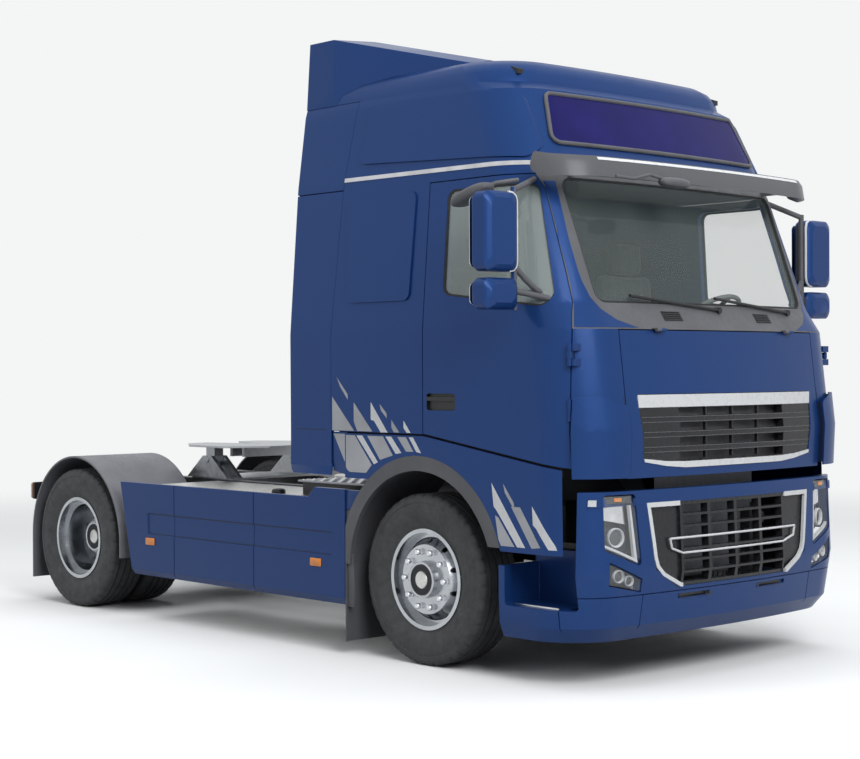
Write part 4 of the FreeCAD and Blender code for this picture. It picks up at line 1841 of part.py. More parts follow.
def housing(name, bottom, top):
    """Mirror case whose front is drawn in by steps to a rounded nose."""
    corners = [
        (S.mirror_inner, bottom, S.mirror_corner), (S.mirror_outer, bottom, S.mirror_corner),
        (S.mirror_outer, top, S.mirror_corner), (S.mirror_inner, top, S.mirror_corner)]
    wires = []
    for where, inset in [
            (mirror_rear, S.mirror_nose_inset * HALF), (mirror_rear + S.mirror_nose_step, 0),
            (mirror_front - S.mirror_nose_step * 2, 0),
            (mirror_front - S.mirror_nose_step, S.mirror_nose_inset),
            (mirror_front, S.mirror_nose_inset * 3)]:
        wire = Part.Wire(outline_edges(grown(corners, -inset)))
        wire.Placement = FreeCAD.Placement(VECTOR(float(where), 0, 0), PLANES["front"][0])
        wires.append(wire)
    return shaped(name, Part.makeLoft(wires, True, True))


upper_mirror = housing("MirrorUpper", S.mirror_bottom, S.mirror_top)
lower_mirror = housing("MirrorLower", S.lower_mirror_bottom, S.lower_mirror_top)
post = rod("MirrorPost", "z", S.arm_radius, (S.lower_mirror_bottom, S.mirror_top + S.arm_radius * 2),
           x=ahead(S.mirror_ahead), y=S.mirror_inner - S.arm_radius / 2)
post_place = (ahead(S.mirror_ahead), S.mirror_inner - S.arm_radius / 2)
arms = [bar("MirrorTopArm", (*post_place, S.mirror_top + S.arm_radius),
            (ahead(S.arm_top_ahead), S.arm_root_side, S.arm_top_height), S.arm_radius),
        bar("MirrorLowArm", (*post_place, S.arm_root_height), (ahead(S.arm_low_ahead), S.arm_root_side,
                                                               S.arm_low_height), S.arm_radius)]
mirror_set = cut("MirrorsLeft", fused("MirrorsBody", [upper_mirror, lower_mirror, post, *arms]), cab_outer)
node("mirrors_left", mirror_set)
node("mirrors_right", mirrored("MirrorsRight", mirror_set))


def broken(piece):
    if "Invalid" in piece.State or "Error" in piece.State:
        return True
    shape = getattr(piece, "Shape", None)
    return piece in NODES.values() and (shape is None or shape.isNull() or not shape.isValid())


document.recompute()
failures = [piece.Name for piece in document.Objects if broken(piece)]
if failures:
    raise RuntimeError("these pieces failed: " + ", ".join(failures))
os.makedirs("parts", exist_ok=True)
for name, piece in NODES.items():
    piece.Shape.exportStep(f"parts/{name}.step")
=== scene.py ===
import math

import bmesh
import bpy
from mathutils import Matrix, Vector
from mathutils.bvhtree import BVHTree


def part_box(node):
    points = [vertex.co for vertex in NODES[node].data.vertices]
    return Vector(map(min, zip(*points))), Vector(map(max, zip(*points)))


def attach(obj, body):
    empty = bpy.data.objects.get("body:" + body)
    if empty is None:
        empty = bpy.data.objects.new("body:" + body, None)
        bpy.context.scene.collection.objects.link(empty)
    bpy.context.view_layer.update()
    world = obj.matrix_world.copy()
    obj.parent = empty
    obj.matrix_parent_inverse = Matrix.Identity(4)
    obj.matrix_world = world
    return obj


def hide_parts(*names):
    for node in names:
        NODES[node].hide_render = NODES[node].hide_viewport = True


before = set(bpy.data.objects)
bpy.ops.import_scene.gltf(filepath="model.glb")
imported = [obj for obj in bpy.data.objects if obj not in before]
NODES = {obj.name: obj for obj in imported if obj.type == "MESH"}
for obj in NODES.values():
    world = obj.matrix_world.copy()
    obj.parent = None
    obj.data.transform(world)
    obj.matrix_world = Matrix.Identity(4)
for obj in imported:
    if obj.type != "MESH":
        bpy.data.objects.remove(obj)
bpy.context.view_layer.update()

# Places read from the frame, in metres, and the directions ahead, left and up.
tyre_low, tyre_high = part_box("tyre_front_left")
FRONT_AXLE = (tyre_low.x + tyre_high.x) / 2
TYRE_RADIUS = (tyre_high.z - tyre_low.z) / 2
AXLE_FOOT = Vector((FRONT_AXLE, 0, 0))
X, Y, Z = Vector((1, 0, 0)), Vector((0, 1, 0)), Vector((0, 0, 1))
SIDES = ((1, "left"), (-1, "right"))

# The photograph's camera: its place ahead of the front axle, to the side and up, and its turns.
CAMERA_AHEAD, CAMERA_SIDE, CAMERA_HEIGHT = 7.518, -8.144, 1.752
CAMERA_YAW, CAMERA_PITCH, CAMERA_ROLL = 136.673, -0.3355, -0.225
IMAGE_WIDTH = 860
FOCAL_PIXELS = 1744.7
CENTRE_RIGHT, CENTRE_UP = 6.55, 1.30
SENSOR = 36.0


def put(name, data):
    """New object of the scene."""
    thing = bpy.data.objects.new(name, data)
    bpy.context.scene.collection.objects.link(thing)
    return thing


def make_camera():
    """Camera at the photograph's angle."""
    yaw, pitch, roll = (math.radians(turn) for turn in (CAMERA_YAW, CAMERA_PITCH, CAMERA_ROLL))
    forward = Vector((math.cos(pitch) * math.cos(yaw), math.cos(pitch) * math.sin(yaw), math.sin(pitch)))
    level = forward.cross(Z).normalized()
    upright = level.cross(forward)
    right = level * math.cos(roll) + upright * math.sin(roll)
    up = upright * math.cos(roll) - level * math.sin(roll)
    data = bpy.data.cameras.new("photo_camera")
    camera = put("photo_camera", data)
    turn = Matrix((right, up, -forward)).transposed().to_4x4()
    camera.matrix_world = Matrix.Translation((FRONT_AXLE + CAMERA_AHEAD, CAMERA_SIDE, CAMERA_HEIGHT)) @ turn
    data.sensor_width = SENSOR
    data.lens = SENSOR * FOCAL_PIXELS / IMAGE_WIDTH
    data.shift_x = -CENTRE_RIGHT / IMAGE_WIDTH
    data.shift_y = -CENTRE_UP / IMAGE_WIDTH
    bpy.context.scene.camera = camera


def colour(code):
    """Linear colour of a screen colour written as #rrggbb."""
    shares = [int(code[i:i + 2], 16) / 255 for i in (1, 3, 5)]
    return tuple(s / 12.92 if s <= 0.04045 else ((s + 0.055) / 1.055) ** 2.4 for s in shares) + (1.0,)


def shade(code, factor):
    """The colour of a code, made lighter or darker."""
    red, green, blue, _ = colour(code)
    return (min(red * factor, 1), min(green * factor, 1), min(blue * factor, 1), 1)


class Nodes:
    """Short way to write the node tree of a material or a world."""

    def __init__(self, owner, shader="Principled BSDF", place="Object"):
        owner.use_nodes = True
        self.owner = owner
        self.tree = owner.node_tree
        self.shader = self.tree.nodes[shader]
        self.place = self.add("ShaderNodeTexCoord").outputs[place]

    def add(self, kind, values=(), **settings):
        """New node with its settings and the values of its sockets."""
        made = self.tree.nodes.new(kind)
        for name, value in settings.items():
            setattr(made, name, value)
        for socket, value in dict(values).items():
            made.inputs[socket].default_value = value
        return made

    def link(self, source, target):
        self.tree.links.new(source, target)

    def noise(self, scale, detail=2.0, stretch=None):
        made = self.add("ShaderNodeTexNoise", {"Scale": scale, "Detail": detail})
        place = self.place
        if stretch:
            mapping = self.add("ShaderNodeMapping", {"Scale": stretch})
            self.link(place, mapping.inputs["Vector"])
            place = mapping.outputs["Vector"]
        self.link(place, made.inputs["Vector"])
        return made.outputs["Fac"]

    def ramp(self, source, *stops, blend="LINEAR"):
        """Colour that runs through stops, each a place and a colour."""
        made = self.add("ShaderNodeValToRGB")
        made.color_ramp.interpolation = blend
        points = made.color_ramp.elements
        while len(points) < len(stops):
            points.new(0.5)
        for point, (where, value) in zip(points, stops):
            point.position = where
            point.color = value
        self.link(source, made.inputs["Fac"])
        return made.outputs["Color"]

    def tint(self, source, code, *stops):
        """Base colour that runs through shares of one colour."""
        shades = [(where, shade(code, share)) for where, share in stops]
        self.link(self.ramp(source, *shades), self.shader.inputs["Base Color"])

    def rough(self, source, low, high):
        """Roughness between two limits, over the middle of a noise's range."""
        limits = {"From Min": 0.3, "From Max": 0.7, "To Min": low, "To Max": high}
        made = self.add("ShaderNodeMapRange", limits)
        self.link(source, made.inputs["Value"])
        self.link(made.outputs["Result"], self.shader.inputs["Roughness"])

    def bump(self, source, distance, strength):
        made = self.add("ShaderNodeBump", {"Distance": distance, "Strength": strength})
        self.link(source, made.inputs["Height"])
        self.link(made.outputs["Normal"], self.shader.inputs["Normal"])

    def set(self, **values):
        """Numbers of the shader that are the same all over."""
        for name, value in values.items():
            self.shader.inputs[name.replace("_", " ")].default_value = value

    def mix_in(self, share, other, output):
        """Shows another shader instead of the own one where a share is 1."""
        mix = self.add("ShaderNodeMixShader")
        for socket, source in enumerate((share, self.shader.outputs[0], other.outputs[0])):
            self.link(source, mix.inputs[socket])
        self.link(mix.outputs[0], self.tree.nodes[output].inputs["Surface"])


def surface(name):
    """Node tree of a new material."""
    return Nodes(bpy.data.materials.new(name))


def paint(name, code, flake):
    """Metallic paint under a clear coat, with a slow change of gloss."""
    made = surface(name)
    made.tint(made.noise(900, 0), code, (0.35, 0.9), (0.65, 1.12))
    made.rough(made.noise(3, 3), 0.34, 0.42)
    made.set(Metallic=flake, Specular_IOR_Level=0.12, Coat_Weight=0.2, Coat_Roughness=0.15)
    return made.owner


def plastic(name, code, rough=(0.45, 0.6), grain=420, relief=0.12, gloss=0.4, mottle=0.12):
    """Moulded plastic with a fine grain."""
    made = surface(name)
    made.tint(made.noise(5, 4), code, (0.3, 1 - mottle), (0.7, 1 + mottle))
    made.rough(made.noise(30, 2), *rough)
    made.set(Specular_IOR_Level=gloss)
    made.bump(made.noise(grain, 1), 0.0006, relief)
    return made.owner


def rubber(name, code):
    """Tyre rubber, a little dusty where it is worn."""
    made = surface(name)
    made.tint(made.noise(14, 5), code, (0.3, 0.8), (0.75, 1.35))
    made.rough(made.noise(40, 3), 0.6, 0.8)
    made.bump(made.noise(220, 2), 0.001, 0.3)
    return made.owner


def metal(name, code, rough=(0.2, 0.35), stretch=(1, 1, 1), scale=60, depth=0.0002):
    """Bare or painted metal with rolled or brushed variation."""
    made = surface(name)
    grain = made.noise(scale, 3, stretch)
    made.tint(grain, code, (0.3, 0.86), (0.7, 1.12))
    made.rough(grain, *rough)
    made.set(Metallic=1.0)
    made.bump(grain, depth, 0.2)
    return made.owner


def glass(name, code, alpha):
    """Tinted glazing that shows what is behind it."""
    made = surface(name)
    made.tint(made.noise(2, 1), code, (0.4, 0.95), (0.6, 1.05))
    made.rough(made.noise(6, 1), 0.02, 0.05)
    made.set(Alpha=alpha, Specular_IOR_Level=0.9)
    return made.owner


def cloth(name, code):
    """Woven seat cloth."""
    made = surface(name)
    weave = made.add("ShaderNodeTexWave", {"Scale": 160, "Distortion": 1.5})
    made.link(made.place, weave.inputs["Vector"])
    made.tint(made.noise(18, 3), code, (0.3, 0.85), (0.7, 1.15))
    made.set(Roughness=0.9, Sheen_Weight=0.3)
    made.bump(weave.outputs["Fac"], 0.001, 0.4)
    return made.owner


BLUE = paint("blue_paint", "#1b3c73", 0.4)
SKIRT_BLUE = paint("skirt_paint", "#19396f", 0.3)
GREY_PAINT = paint("grey_paint", "#5b5c60", 0.2)
VIOLET = plastic("violet_gloss", "#1a1858", (0.15, 0.25), 200, 0.02, 0.1)
DARK = plastic("dark_plastic", "#55565a")
# Painted light: the same dark plastic made lighter for the rear fenders, to make up for the shade they stand
# in.
FENDER_LIGHTENED = plastic("fender_plastic_lightened", "#6e6f74")
BLACK = plastic("black_plastic", "#1d1e20", (0.3, 0.45))
GRILLE = plastic("grille_plastic", "#252629", (0.2, 0.35), 420, 0.04, 0.3)
# Lighter grey than the grille: a painted highlight along the slat edges, carried by tubes that also round
# them.
SLAT_HIGHLIGHT = plastic("slat_edge_highlight", "#4a4b4f", (0.2, 0.3))
FRAME_PAINT = plastic("frame_paint", "#4b4d51", (0.35, 0.5), 90)
SEAM = plastic("seam_line", "#0c1428", (0.5, 0.6))
INSIDE = plastic("cabin_plastic", "#777b7a", (0.5, 0.65), 420, 0.02, 0.1)
WHITE = plastic("white_trim", "#d2d4d6", (0.25, 0.32), 300, 0.01, 0.4, 0.02)
SILVER = metal("silver_trim", "#cdced2", (0.28, 0.36), scale=10, depth=0.00002)
STRIPE = metal("silver_stripe", "#94969b", (0.34, 0.42), scale=4, depth=0.00002)
CAST = metal("cast_steel", "#3a3b3e", (0.45, 0.65), scale=40, depth=0.001)
ALUMINIUM = metal("aluminium", "#c8c8c6", (0.25, 0.4), (1, 8, 8), 30)
CHROME = metal("chrome", "#d9dade", (0.08, 0.14), scale=8, depth=0.00002)
RIM_METAL = metal("forged_rim", "#b4b7bb", (0.2, 0.28), scale=6, depth=0.00005)
GREASED = metal("coupling_steel", "#bcbfc3", (0.35, 0.5), scale=25, depth=0.0005)
FINS = metal("radiator_fins", "#55575b", (0.4, 0.5), scale=30)
MIRROR = metal("mirror_glass", "#cfd6da", (0.02, 0.05), scale=5)
TYRE = rubber("tyre_rubber", "#3a3c3d")
SEAL = rubber("seal_rubber", "#1b1c1e")
GLASS = glass("tinted_glass", "#8d9b98", 0.12)
# Painted reflection: a paler, less clear copy of the tinted glass, on the right door only, standing in for
# the reflection that lightens that window.
GLASS_PAINTED_REFLECTION = glass("glass_painted_reflection", "#a9b5b3", 0.40)
LAMP = glass("lamp_clear", "#e6ebee", 0.06)
LENS = plastic("clear_lens", "#c9cdd0", (0.1, 0.2), 500)
WELL = plastic("lamp_well", "#43464b", (0.25, 0.4), 260)
AMBER = plastic("amber_lens", "#f0913a", (0.12, 0.2), 500)
RED = plastic("red_lens", "#a3141a", (0.1, 0.2), 500)
CLOTH = cloth("seat_cloth", "#4d5257")

# The finish of each CAD node.
LOOKS = {
    BLUE: ["bumper", "cab_rear_wall", "cab_sides", "cab_roof", "corner_panels",
           "roof_deflector", "side_fairings", "door_left", "door_right", "front_lid", "fender_panels",
           "mirrors_left", "mirrors_right"],
    SKIRT_BLUE: ["side_skirts", "step_boxes"],
    GREY_PAINT: ["sun_visor"],
    VIOLET: ["sign_panel"],
    DARK: ["cab_front", "front_fenders"],
    FENDER_LIGHTENED: ["rear_fenders"],
    BLACK: ["wipers", "roof_lamps"],
    GRILLE: ["upper_grille", "lower_grille"],
    FRAME_PAINT: ["frame"],
    CAST: ["powertrain", "front_axle", "rear_axle", "suspension", "knuckle_left", "knuckle_right",
           "tie_rod", "radiator"],
    ALUMINIUM: ["fuel_tanks", "catwalk"],
    RIM_METAL: ["wheel_front_left", "wheel_front_right", "wheels_rear_left", "wheels_rear_right"],
    GREASED: ["fifth_wheel", "kingpin_jaw", "coupling_base"],
    TYRE: ["tyre_front_left", "tyre_front_right", "tyres_rear_left", "tyres_rear_right"],
    GLASS: ["windscreen", "door_glass_left"],
    GLASS_PAINTED_REFLECTION: ["door_glass_right"],
    LAMP: ["lamps"],
    CLOTH: ["seats", "bunk"],
    INSIDE: ["cab_floor", "dashboard", "steering_wheel"],
}
# Rounding of the CAD nodes: widths, the angle in degrees from which an edge is rounded, and what is welded.
PAINTED_EDGE, PLAIN_EDGE, SHARP_ANGLE, WELD_WITHIN = 0.0035, 0.002, 28, 0.00002

# Slot names for each finish, looked up for a piece that names no other; the slot found is not stored on the
# piece.
SLOTS = {
    "chrome": [WHITE, SILVER, CHROME, MIRROR],
    "dark_plastic": [DARK, BLACK, SEAM],
    "grille_plastic": [SLAT_HIGHLIGHT],
    "paint_blue": [BLUE, SKIRT_BLUE],
    "aluminium": [ALUMINIUM, RIM_METAL, CAST, FINS],
    "lamp_clear": [LAMP, LENS, WELL, AMBER, RED],
    "tyre": [TYRE],
}
SLOT_OF = {finish: slot for slot, finishes in SLOTS.items() for finish in finishes}
NO_SLOT = ""


def dress(node, material):
    slots = NODES[node].data.materials
    slots.clear()
    slots.append(material)


def dress_where(node, material, test):
    """Gives another finish to the faces whose middle passes a test."""
    mesh = NODES[node].data
    mesh.materials.append(material)
    extra = len(mesh.materials) - 1
    for face in mesh.polygons:
        if test(face.center):
            face.material_index = extra


def soften(node, width):
    """Smooth shading with small rounded edges on a CAD node."""
    thing = NODES[node]
    mesh = thing.data
    for name in ("custom_normal", "sharp_edge", "sharp_face"):
        if name in mesh.attributes:
            mesh.attributes.remove(mesh.attributes[name])
    mesh.shade_smooth()
    weld = thing.modifiers.new("weld", "WELD")
    weld.merge_threshold = WELD_WITHIN
    bevel = thing.modifiers.new("round", "BEVEL")
    bevel.width = width
    bevel.segments = 2
    bevel.limit_method = "ANGLE"
    bevel.angle_limit = math.radians(SHARP_ANGLE)
    normals = thing.modifiers.new("normals", "WEIGHTED_NORMAL")
    normals.weight = 60


for look, names in LOOKS.items():
    for name in names:
        dress(name, look)
        soften(name, PAINTED_EDGE if look in (BLUE, SKIRT_BLUE, GREY_PAINT) else PLAIN_EDGE)


def piece(name, body, points, faces, material, slot=None, smooth=True, split=35):
    """Closed mesh that rides on a body."""
    mesh = bpy.data.meshes.new(name)
    mesh.from_pydata([tuple(point) for point in points], [], faces)
    mesh.materials.append(material)
    work = bmesh.new()
    work.from_mesh(mesh)
    bmesh.ops.remove_doubles(work, verts=work.verts, dist=0.00001)
    bmesh.ops.recalc_face_normals(work, faces=work.faces)
    work.to_mesh(mesh)
    work.free()
    thing = put(name, mesh)
    if smooth:
        mesh.shade_smooth()
        edges = thing.modifiers.new("edges", "EDGE_SPLIT")
        edges.split_angle = math.radians(split)
    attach(thing, body)
    slot = SLOT_OF.get(material) if slot is None else slot
    return thing


def loft(rings, closed=True, caps=True):
    """Points and faces of a skin through rings of equal length."""
    count = len(rings[0])
    points = [point for ring in rings for point in ring]
    faces = []
    for row in range(len(rings) - 1):
        for i in range(count if closed else count - 1):
            j = (i + 1) % count
            faces.append((row * count + i, row * count + j, (row + 1) * count + j, (row + 1) * count + i))
    if caps:
        faces.append(tuple(reversed(range(count))))
        faces.append(tuple((len(rings) - 1) * count + i for i in range(count)))
    return points, faces


def joined(parts):
    """One set of points and faces from several."""
    points, faces = [], []
    for more_points, more_faces in parts:
        faces += [tuple(len(points) + i for i in face) for face in more_faces]
        points += more_points
    return points, faces


def circle(centre, across, third, radius, sides):
    """Points round a centre in the plane of two directions."""
    turns = [2 * math.pi * k / sides for k in range(sides)]
    return [centre + (across * math.cos(t) + third * math.sin(t)) * radius for t in turns]


def rectangle(u0, v0, u1, v1):
    return [(u0, v0), (u1, v0), (u1, v1), (u0, v1)]


def beside(y, points):
    """Places in a plane beside the truck, from metres ahead of the front axle and up."""
    return [(FRONT_AXLE + u, y, z) for u, z in points]


def facing(x, side, points):
    """Places in a plane across the truck, on one side of its middle."""
    return [(x, side * y, z) for y, z in points]


def whole(half):
    """Line across the front from its left half."""
    return [(-y, z) for y, z in reversed(half)] + half


def tube(name, body, path, radius, material, sides=12):
    """Round bar along a path."""
    path = [Vector(point) for point in path]
    rings = []
    for i, point in enumerate(path):
        way = (path[min(i + 1, len(path) - 1)] - path[max(i - 1, 0)]).normalized()
        across = (across - way * across.dot(way) if rings else way.orthogonal()).normalized()
        rings.append(circle(point, across, way.cross(across), radius, sides))
    return piece(name, body, *loft(rings), material)


def lathe(name, body, centre, profile, material, slot=None, out=Y, across=X, turns=64):
    """Ring or disc turned about a direction; the profile holds pairs of place along it and radius."""
    rings = [circle(Vector(centre) + out * place, across, out.cross(across), radius, turns)
             for place, radius in profile]
    return piece(name, body, *loft(rings, True, profile[0] != profile[-1]), material, slot)


def rounded(corners, radius, steps=5):
    """Outline of a polygon with rounded corners."""
    points = [Vector(corner) for corner in corners]
    made = []
    for i, here in enumerate(points):
        before = (points[i - 1] - here).normalized()
        after = (points[(i + 1) % len(points)] - here).normalized()
        half = before.angle(after) / 2
        reach = radius / math.tan(half)
        centre = here + (before + after).normalized() * radius / math.sin(half)
        first, last = here + before * reach - centre, here + after * reach - centre
        for k in range(steps + 1):
            made.append(centre + first.lerp(last, k / steps).normalized() * radius)
    return made


def slab(name, body, outline, direction, depth, material, slot=None, edge=0.004):
    """Plate carried along a direction, with rounded rims."""
    outline = [Vector(point) for point in outline]
    centre = sum(outline, Vector()) / len(outline)
    slope = edge * 0.3

    def ring(shrink, out):
        inward = [centre - point for point in outline]
        return [point + way.normalized() * min(shrink, way.length / 2) + direction * out
                for point, way in zip(outline, inward)]
    rims = [(edge, 0), (slope, slope), (0, edge), (0, depth - edge), (slope, depth - slope), (edge, depth)]
    return piece(name, body, *loft([ring(shrink, out) for shrink, out in rims]), material, slot)


def sheet(name, body, tops, backs, wide, material, slot=None, split=35):
    """Closed sheet between two grids of points, each given row after row of equal width."""
    half, last = len(tops), len(tops) // wide - 1
    faces = []
    for i in range(last):
        for k in range(wide - 1):
            a = i * wide + k
            quad = (a, a + 1, a + wide + 1, a + wide)
            faces += [quad, tuple(half + n for n in reversed(quad))]
    rim = list(range(wide)) + [i * wide + wide - 1 for i in range(1, last + 1)]
    rim += [last * wide + k for k in reversed(range(wide - 1))]
    rim += [i * wide for i in reversed(range(1, last))]
    faces += [(a, b, half + b, half + a) for a, b in zip(rim, rim[1:] + rim[:1])]
    return piece(name, body, tops + backs, faces, material, slot, True, split)


def ray_tree(*names):
    """Search tree over the faces of some CAD nodes."""
    meshes = [NODES[name].data for name in names]
    return BVHTree.FromPolygons(*joined(
        ([vertex.co.copy() for vertex in mesh.vertices], [tuple(face.vertices) for face in mesh.polygons])
        for mesh in meshes))


# Where rays start, from the frame's origin, and about where the skin lies, ahead of the axle and aside.
START_AHEAD, START_ASIDE = 6.0, 4.0
SKIN_AHEAD, SKIN_ASIDE = 1.3, 1.2


def on_skin(tree, view, u, v):
    """Point of the skin seen square from a side or the front; u and v are metres in that view."""
    if view == "front":
        out, start, near = X, Vector((START_AHEAD, u, v)), Vector((FRONT_AXLE + SKIN_AHEAD, u, v))
    else:
        out = Y if view == "left" else -Y
        start, near = (Vector((FRONT_AXLE + u, out.y * aside, v)) for aside in (START_ASIDE, SKIN_ASIDE))
    hit = tree.ray_cast(start, -out)[0]
    if hit is None:
        hit = start + out * (tree.find_nearest(near)[0] - start).dot(out)
    return hit, out


def along(line, share):
    """Point at a share of a polyline's length."""
    line = [Vector(point) for point in line]
    lengths = [(b - a).length for a, b in zip(line, line[1:])]
    left = share * sum(lengths)
    for a, b, length in zip(line, line[1:], lengths):
        if left <= length or b is line[-1]:
            return a.lerp(b, min(left / length, 1))
        left -= length


def ribbon(name, body, skins, view, lower, upper, material, slot=None, lift=0.002, depth=0.003, steps=24,
           rows=2):
    """Thin strip laid on the skin between two lines; a view is a word or a function that finds places."""
    tree = ray_tree(*skins)
    tops, backs = [], []
    for i in range(steps + 1):
        low, high = along(lower, i / steps), along(upper, i / steps)
        for row in range(rows + 1):
            point = low.lerp(high, row / rows)
            hit, out = view(tree, point) if callable(view) else on_skin(tree, view, *point)
            tops.append(hit + out * lift)
            backs.append(hit + out * (lift - depth))
    return sheet(name, body, tops, backs, rows + 1, material, slot)


def seam(name, body, skin, view, start, end, across, steps):
    """Dark line on a skin; its other edge lies a small step across from the first."""
    edge = [Vector(start), Vector(end)]
    ribbon(name, body, [skin], view, edge, [place + Vector(across) for place in edge], SEAM,
           lift=0.0006, depth=0.001, steps=steps, rows=1)


def bridging(low, high):
    """Place on a straight line between the skin at two heights, over whatever lies between them."""
    def view(tree, point):
        first, out = on_skin(tree, "front", point.x, low)
        last = on_skin(tree, "front", point.x, high)[0]
        share = (point.y - low) / (high - low)
        return Vector((first.lerp(last, share).x, point.x, point.y)), out
    return view


def from_way(way, reach=0.4):
    """Place met on the skin when a point is looked at against a direction."""
    way = Vector(way).normalized()

    def view(tree, point):
        place = AXLE_FOOT + point
        hit = tree.ray_cast(place + way * reach, -way)[0]
        return (hit or tree.find_nearest(place)[0]), way
    return view


# The bumper's front: its place ahead of the axle at a height, its lean and curve up and its bow across.
BUMPER_AHEAD, BUMPER_HEIGHT, BUMPER_LEAN, BUMPER_CURVE, BUMPER_BOW = 1.404, 0.6, 0.018, 0.0434, 16.2


def bumper_front(tree, point):
    """Place on the bumper's bowed front, also where its opening is."""
    y, z = point
    rise = z - BUMPER_HEIGHT
    back = BUMPER_LEAN * rise + BUMPER_CURVE * rise ** 2 + y ** 2 / BUMPER_BOW
    return Vector((FRONT_AXLE + BUMPER_AHEAD - back, y, z)), X


# The inner sides of the mirror housings lie within this distance of the truck's middle.
MIRROR_INNER = 1.346


def dress_parts(side, word):
    """Dark inner halves of the mirror housings and dark backs of the door handles."""
    dress_where(f"mirrors_{word}", DARK, lambda middle: abs(middle.y) < MIRROR_INNER)
    dress_where(f"door_{word}", BLACK, lambda middle: (
        FRONT_AXLE + 0.11 < middle.x < FRONT_AXLE + 0.36 and 1.50 < middle.z < 1.61))


def add_front_trim():
    """Lip and header of the upper grille, lighter tubes along its slat edges that carry a painted highlight,
    loop of the lower one and strip of the visor.
    """
    over_opening = bridging(1.17, 1.615)
    slat_foot, slat_half, slat_flare, slat_proud, half_steps = 1.28, 0.772, 0.09, 0.0015, 20
    loop_ahead, loop_bow, loop_steps = 1.3945, 16.4, 6
    ribbon("upper_grille_lip", "front_lid", ["front_lid"], over_opening,
           whole([(0.446, 1.192), (0.600, 1.205), (0.768, 1.232)]),
           whole([(0.446, 1.226), (0.600, 1.232), (0.772, 1.250)]), WHITE, lift=0.010, depth=0.016, steps=60)
    ribbon("upper_grille_header", "front_lid", ["front_lid"], over_opening, whole([(0.800, 1.530)]),
           whole([(0.804, 1.600)]), WHITE, lift=0.006, depth=0.012, steps=60)
    tree = ray_tree("upper_grille")
    # Tubes along the slat edges: real rounded edges, with a painted highlight in their lighter grey.
    for index, z in enumerate((1.2835, 1.311, 1.3657, 1.3932, 1.448, 1.4755)):
        half = slat_half + (z - slat_foot) * slat_flare
        path = [on_skin(tree, "front", half * (k / half_steps - 1), z)[0] + X * slat_proud
                for k in range(2 * half_steps + 1)]
        tube(f"slat_edge_highlight_{index}", "front_lid", path, 0.0032, SLAT_HIGHLIGHT, 8)
    loop = [(-0.575, 0.800), (0.600, 0.800), (0.585, 0.745), (0.470, 0.715), (-0.470, 0.715), (-0.560, 0.745)]
    path = [Vector(a).lerp(Vector(b), k / loop_steps)
            for a, b in zip(loop, loop[1:] + loop[:1]) for k in range(loop_steps)]
    path = [(FRONT_AXLE + loop_ahead - y ** 2 / loop_bow, y, z) for y, z in path + path[:1]]
    tube("lower_grille_loop", "chassis", path, 0.007, WHITE, 10)
    ribbon("visor_strip", "cab", ["sun_visor"], "front", whole([(0.93, 2.892)]), whole([(0.93, 2.908)]),
           WHITE, lift=0.003, depth=0.006, steps=60, rows=1)


def add_side_trim(side, word):
    """Line round the cab's shoulder, frame of the lower grille, seam of the lid, bumper slot and louvres."""
    def mirrored(points):
        return [(side * y, z) for y, z in points]
    ribbon(f"shoulder_trim_{word}", "cab", ["cab_roof", "cab_sides", "cab_front"], word,
           [(-0.69, 2.895), (0.86, 2.885)], [(-0.69, 2.920), (0.86, 2.910)], SILVER,
           lift=0.004, depth=0.006, steps=40, rows=1)
    outer = [(0.484, 0.530), (0.500, 0.530), (0.640, 0.600), (0.690, 0.650), (0.706, 0.700), (0.752, 1.006)]
    inner = [(0.484, 0.552), (0.496, 0.552), (0.626, 0.617), (0.668, 0.660), (0.682, 0.704), (0.726, 1.000)]
    ribbon(f"lower_grille_edge_{word}", "chassis", ["bumper"], bumper_front, mirrored(outer),
           mirrored(inner), WHITE, lift=0.003, depth=0.018, steps=48)
    ribbon(f"lower_grille_cap_{word}", "chassis", ["bumper"], bumper_front,
           mirrored([(0.490, 0.982), (0.735, 0.982)]), mirrored([(0.490, 1.008), (0.752, 1.008)]),
           WHITE, lift=0.0035, depth=0.018, steps=20)
    seam(f"lid_seam_{word}", "cab", "corner_panels", "front", (side * 0.9035, 1.60), (side * 0.9035, 1.168),
         (side * 0.0045, 0), 40)
    low, high = sorted((side * 0.215, side * 0.475))
    ribbon(f"bumper_slot_{word}", "chassis", ["bumper"], "front", [(low, 0.456), (high, 0.456)],
           [(low, 0.487), (high, 0.487)], BLACK, steps=20)
    tree = ray_tree("cab_front")
    middle, lowest, pitch, radius = side * 0.424, 2.018, 0.011, 0.004
    for index in range(5):
        path = [on_skin(tree, "front", middle + offset, lowest + index * pitch)[0] + X * radius
                for offset in (-0.075, -0.025, 0.025, 0.075)]
        tube(f"cowl_slat_{word}_{index}", "cab", path, radius, BLACK, 8)


def add_radiator_fins():
    """Finned face of the radiator behind the grilles."""
    face, half, low, high = FRONT_AXLE + 1.168, 0.46, 0.545, 1.125
    pitch, deep, backing = 0.012, 0.010, 0.002
    places = [-half + k * pitch for k in range(int(2 * half / pitch) + 1)]
    outline = [(face + (deep if k % 2 else 0), y) for k, y in enumerate(places)]
    outline += [(face - backing, y) for y in reversed(places)]
    rings = [[Vector((x, y, z)) for x, y in outline] for z in (low, (low + high) / 2, high)]
    piece("radiator_fins", "chassis", *loft(rings), FINS, split=20)


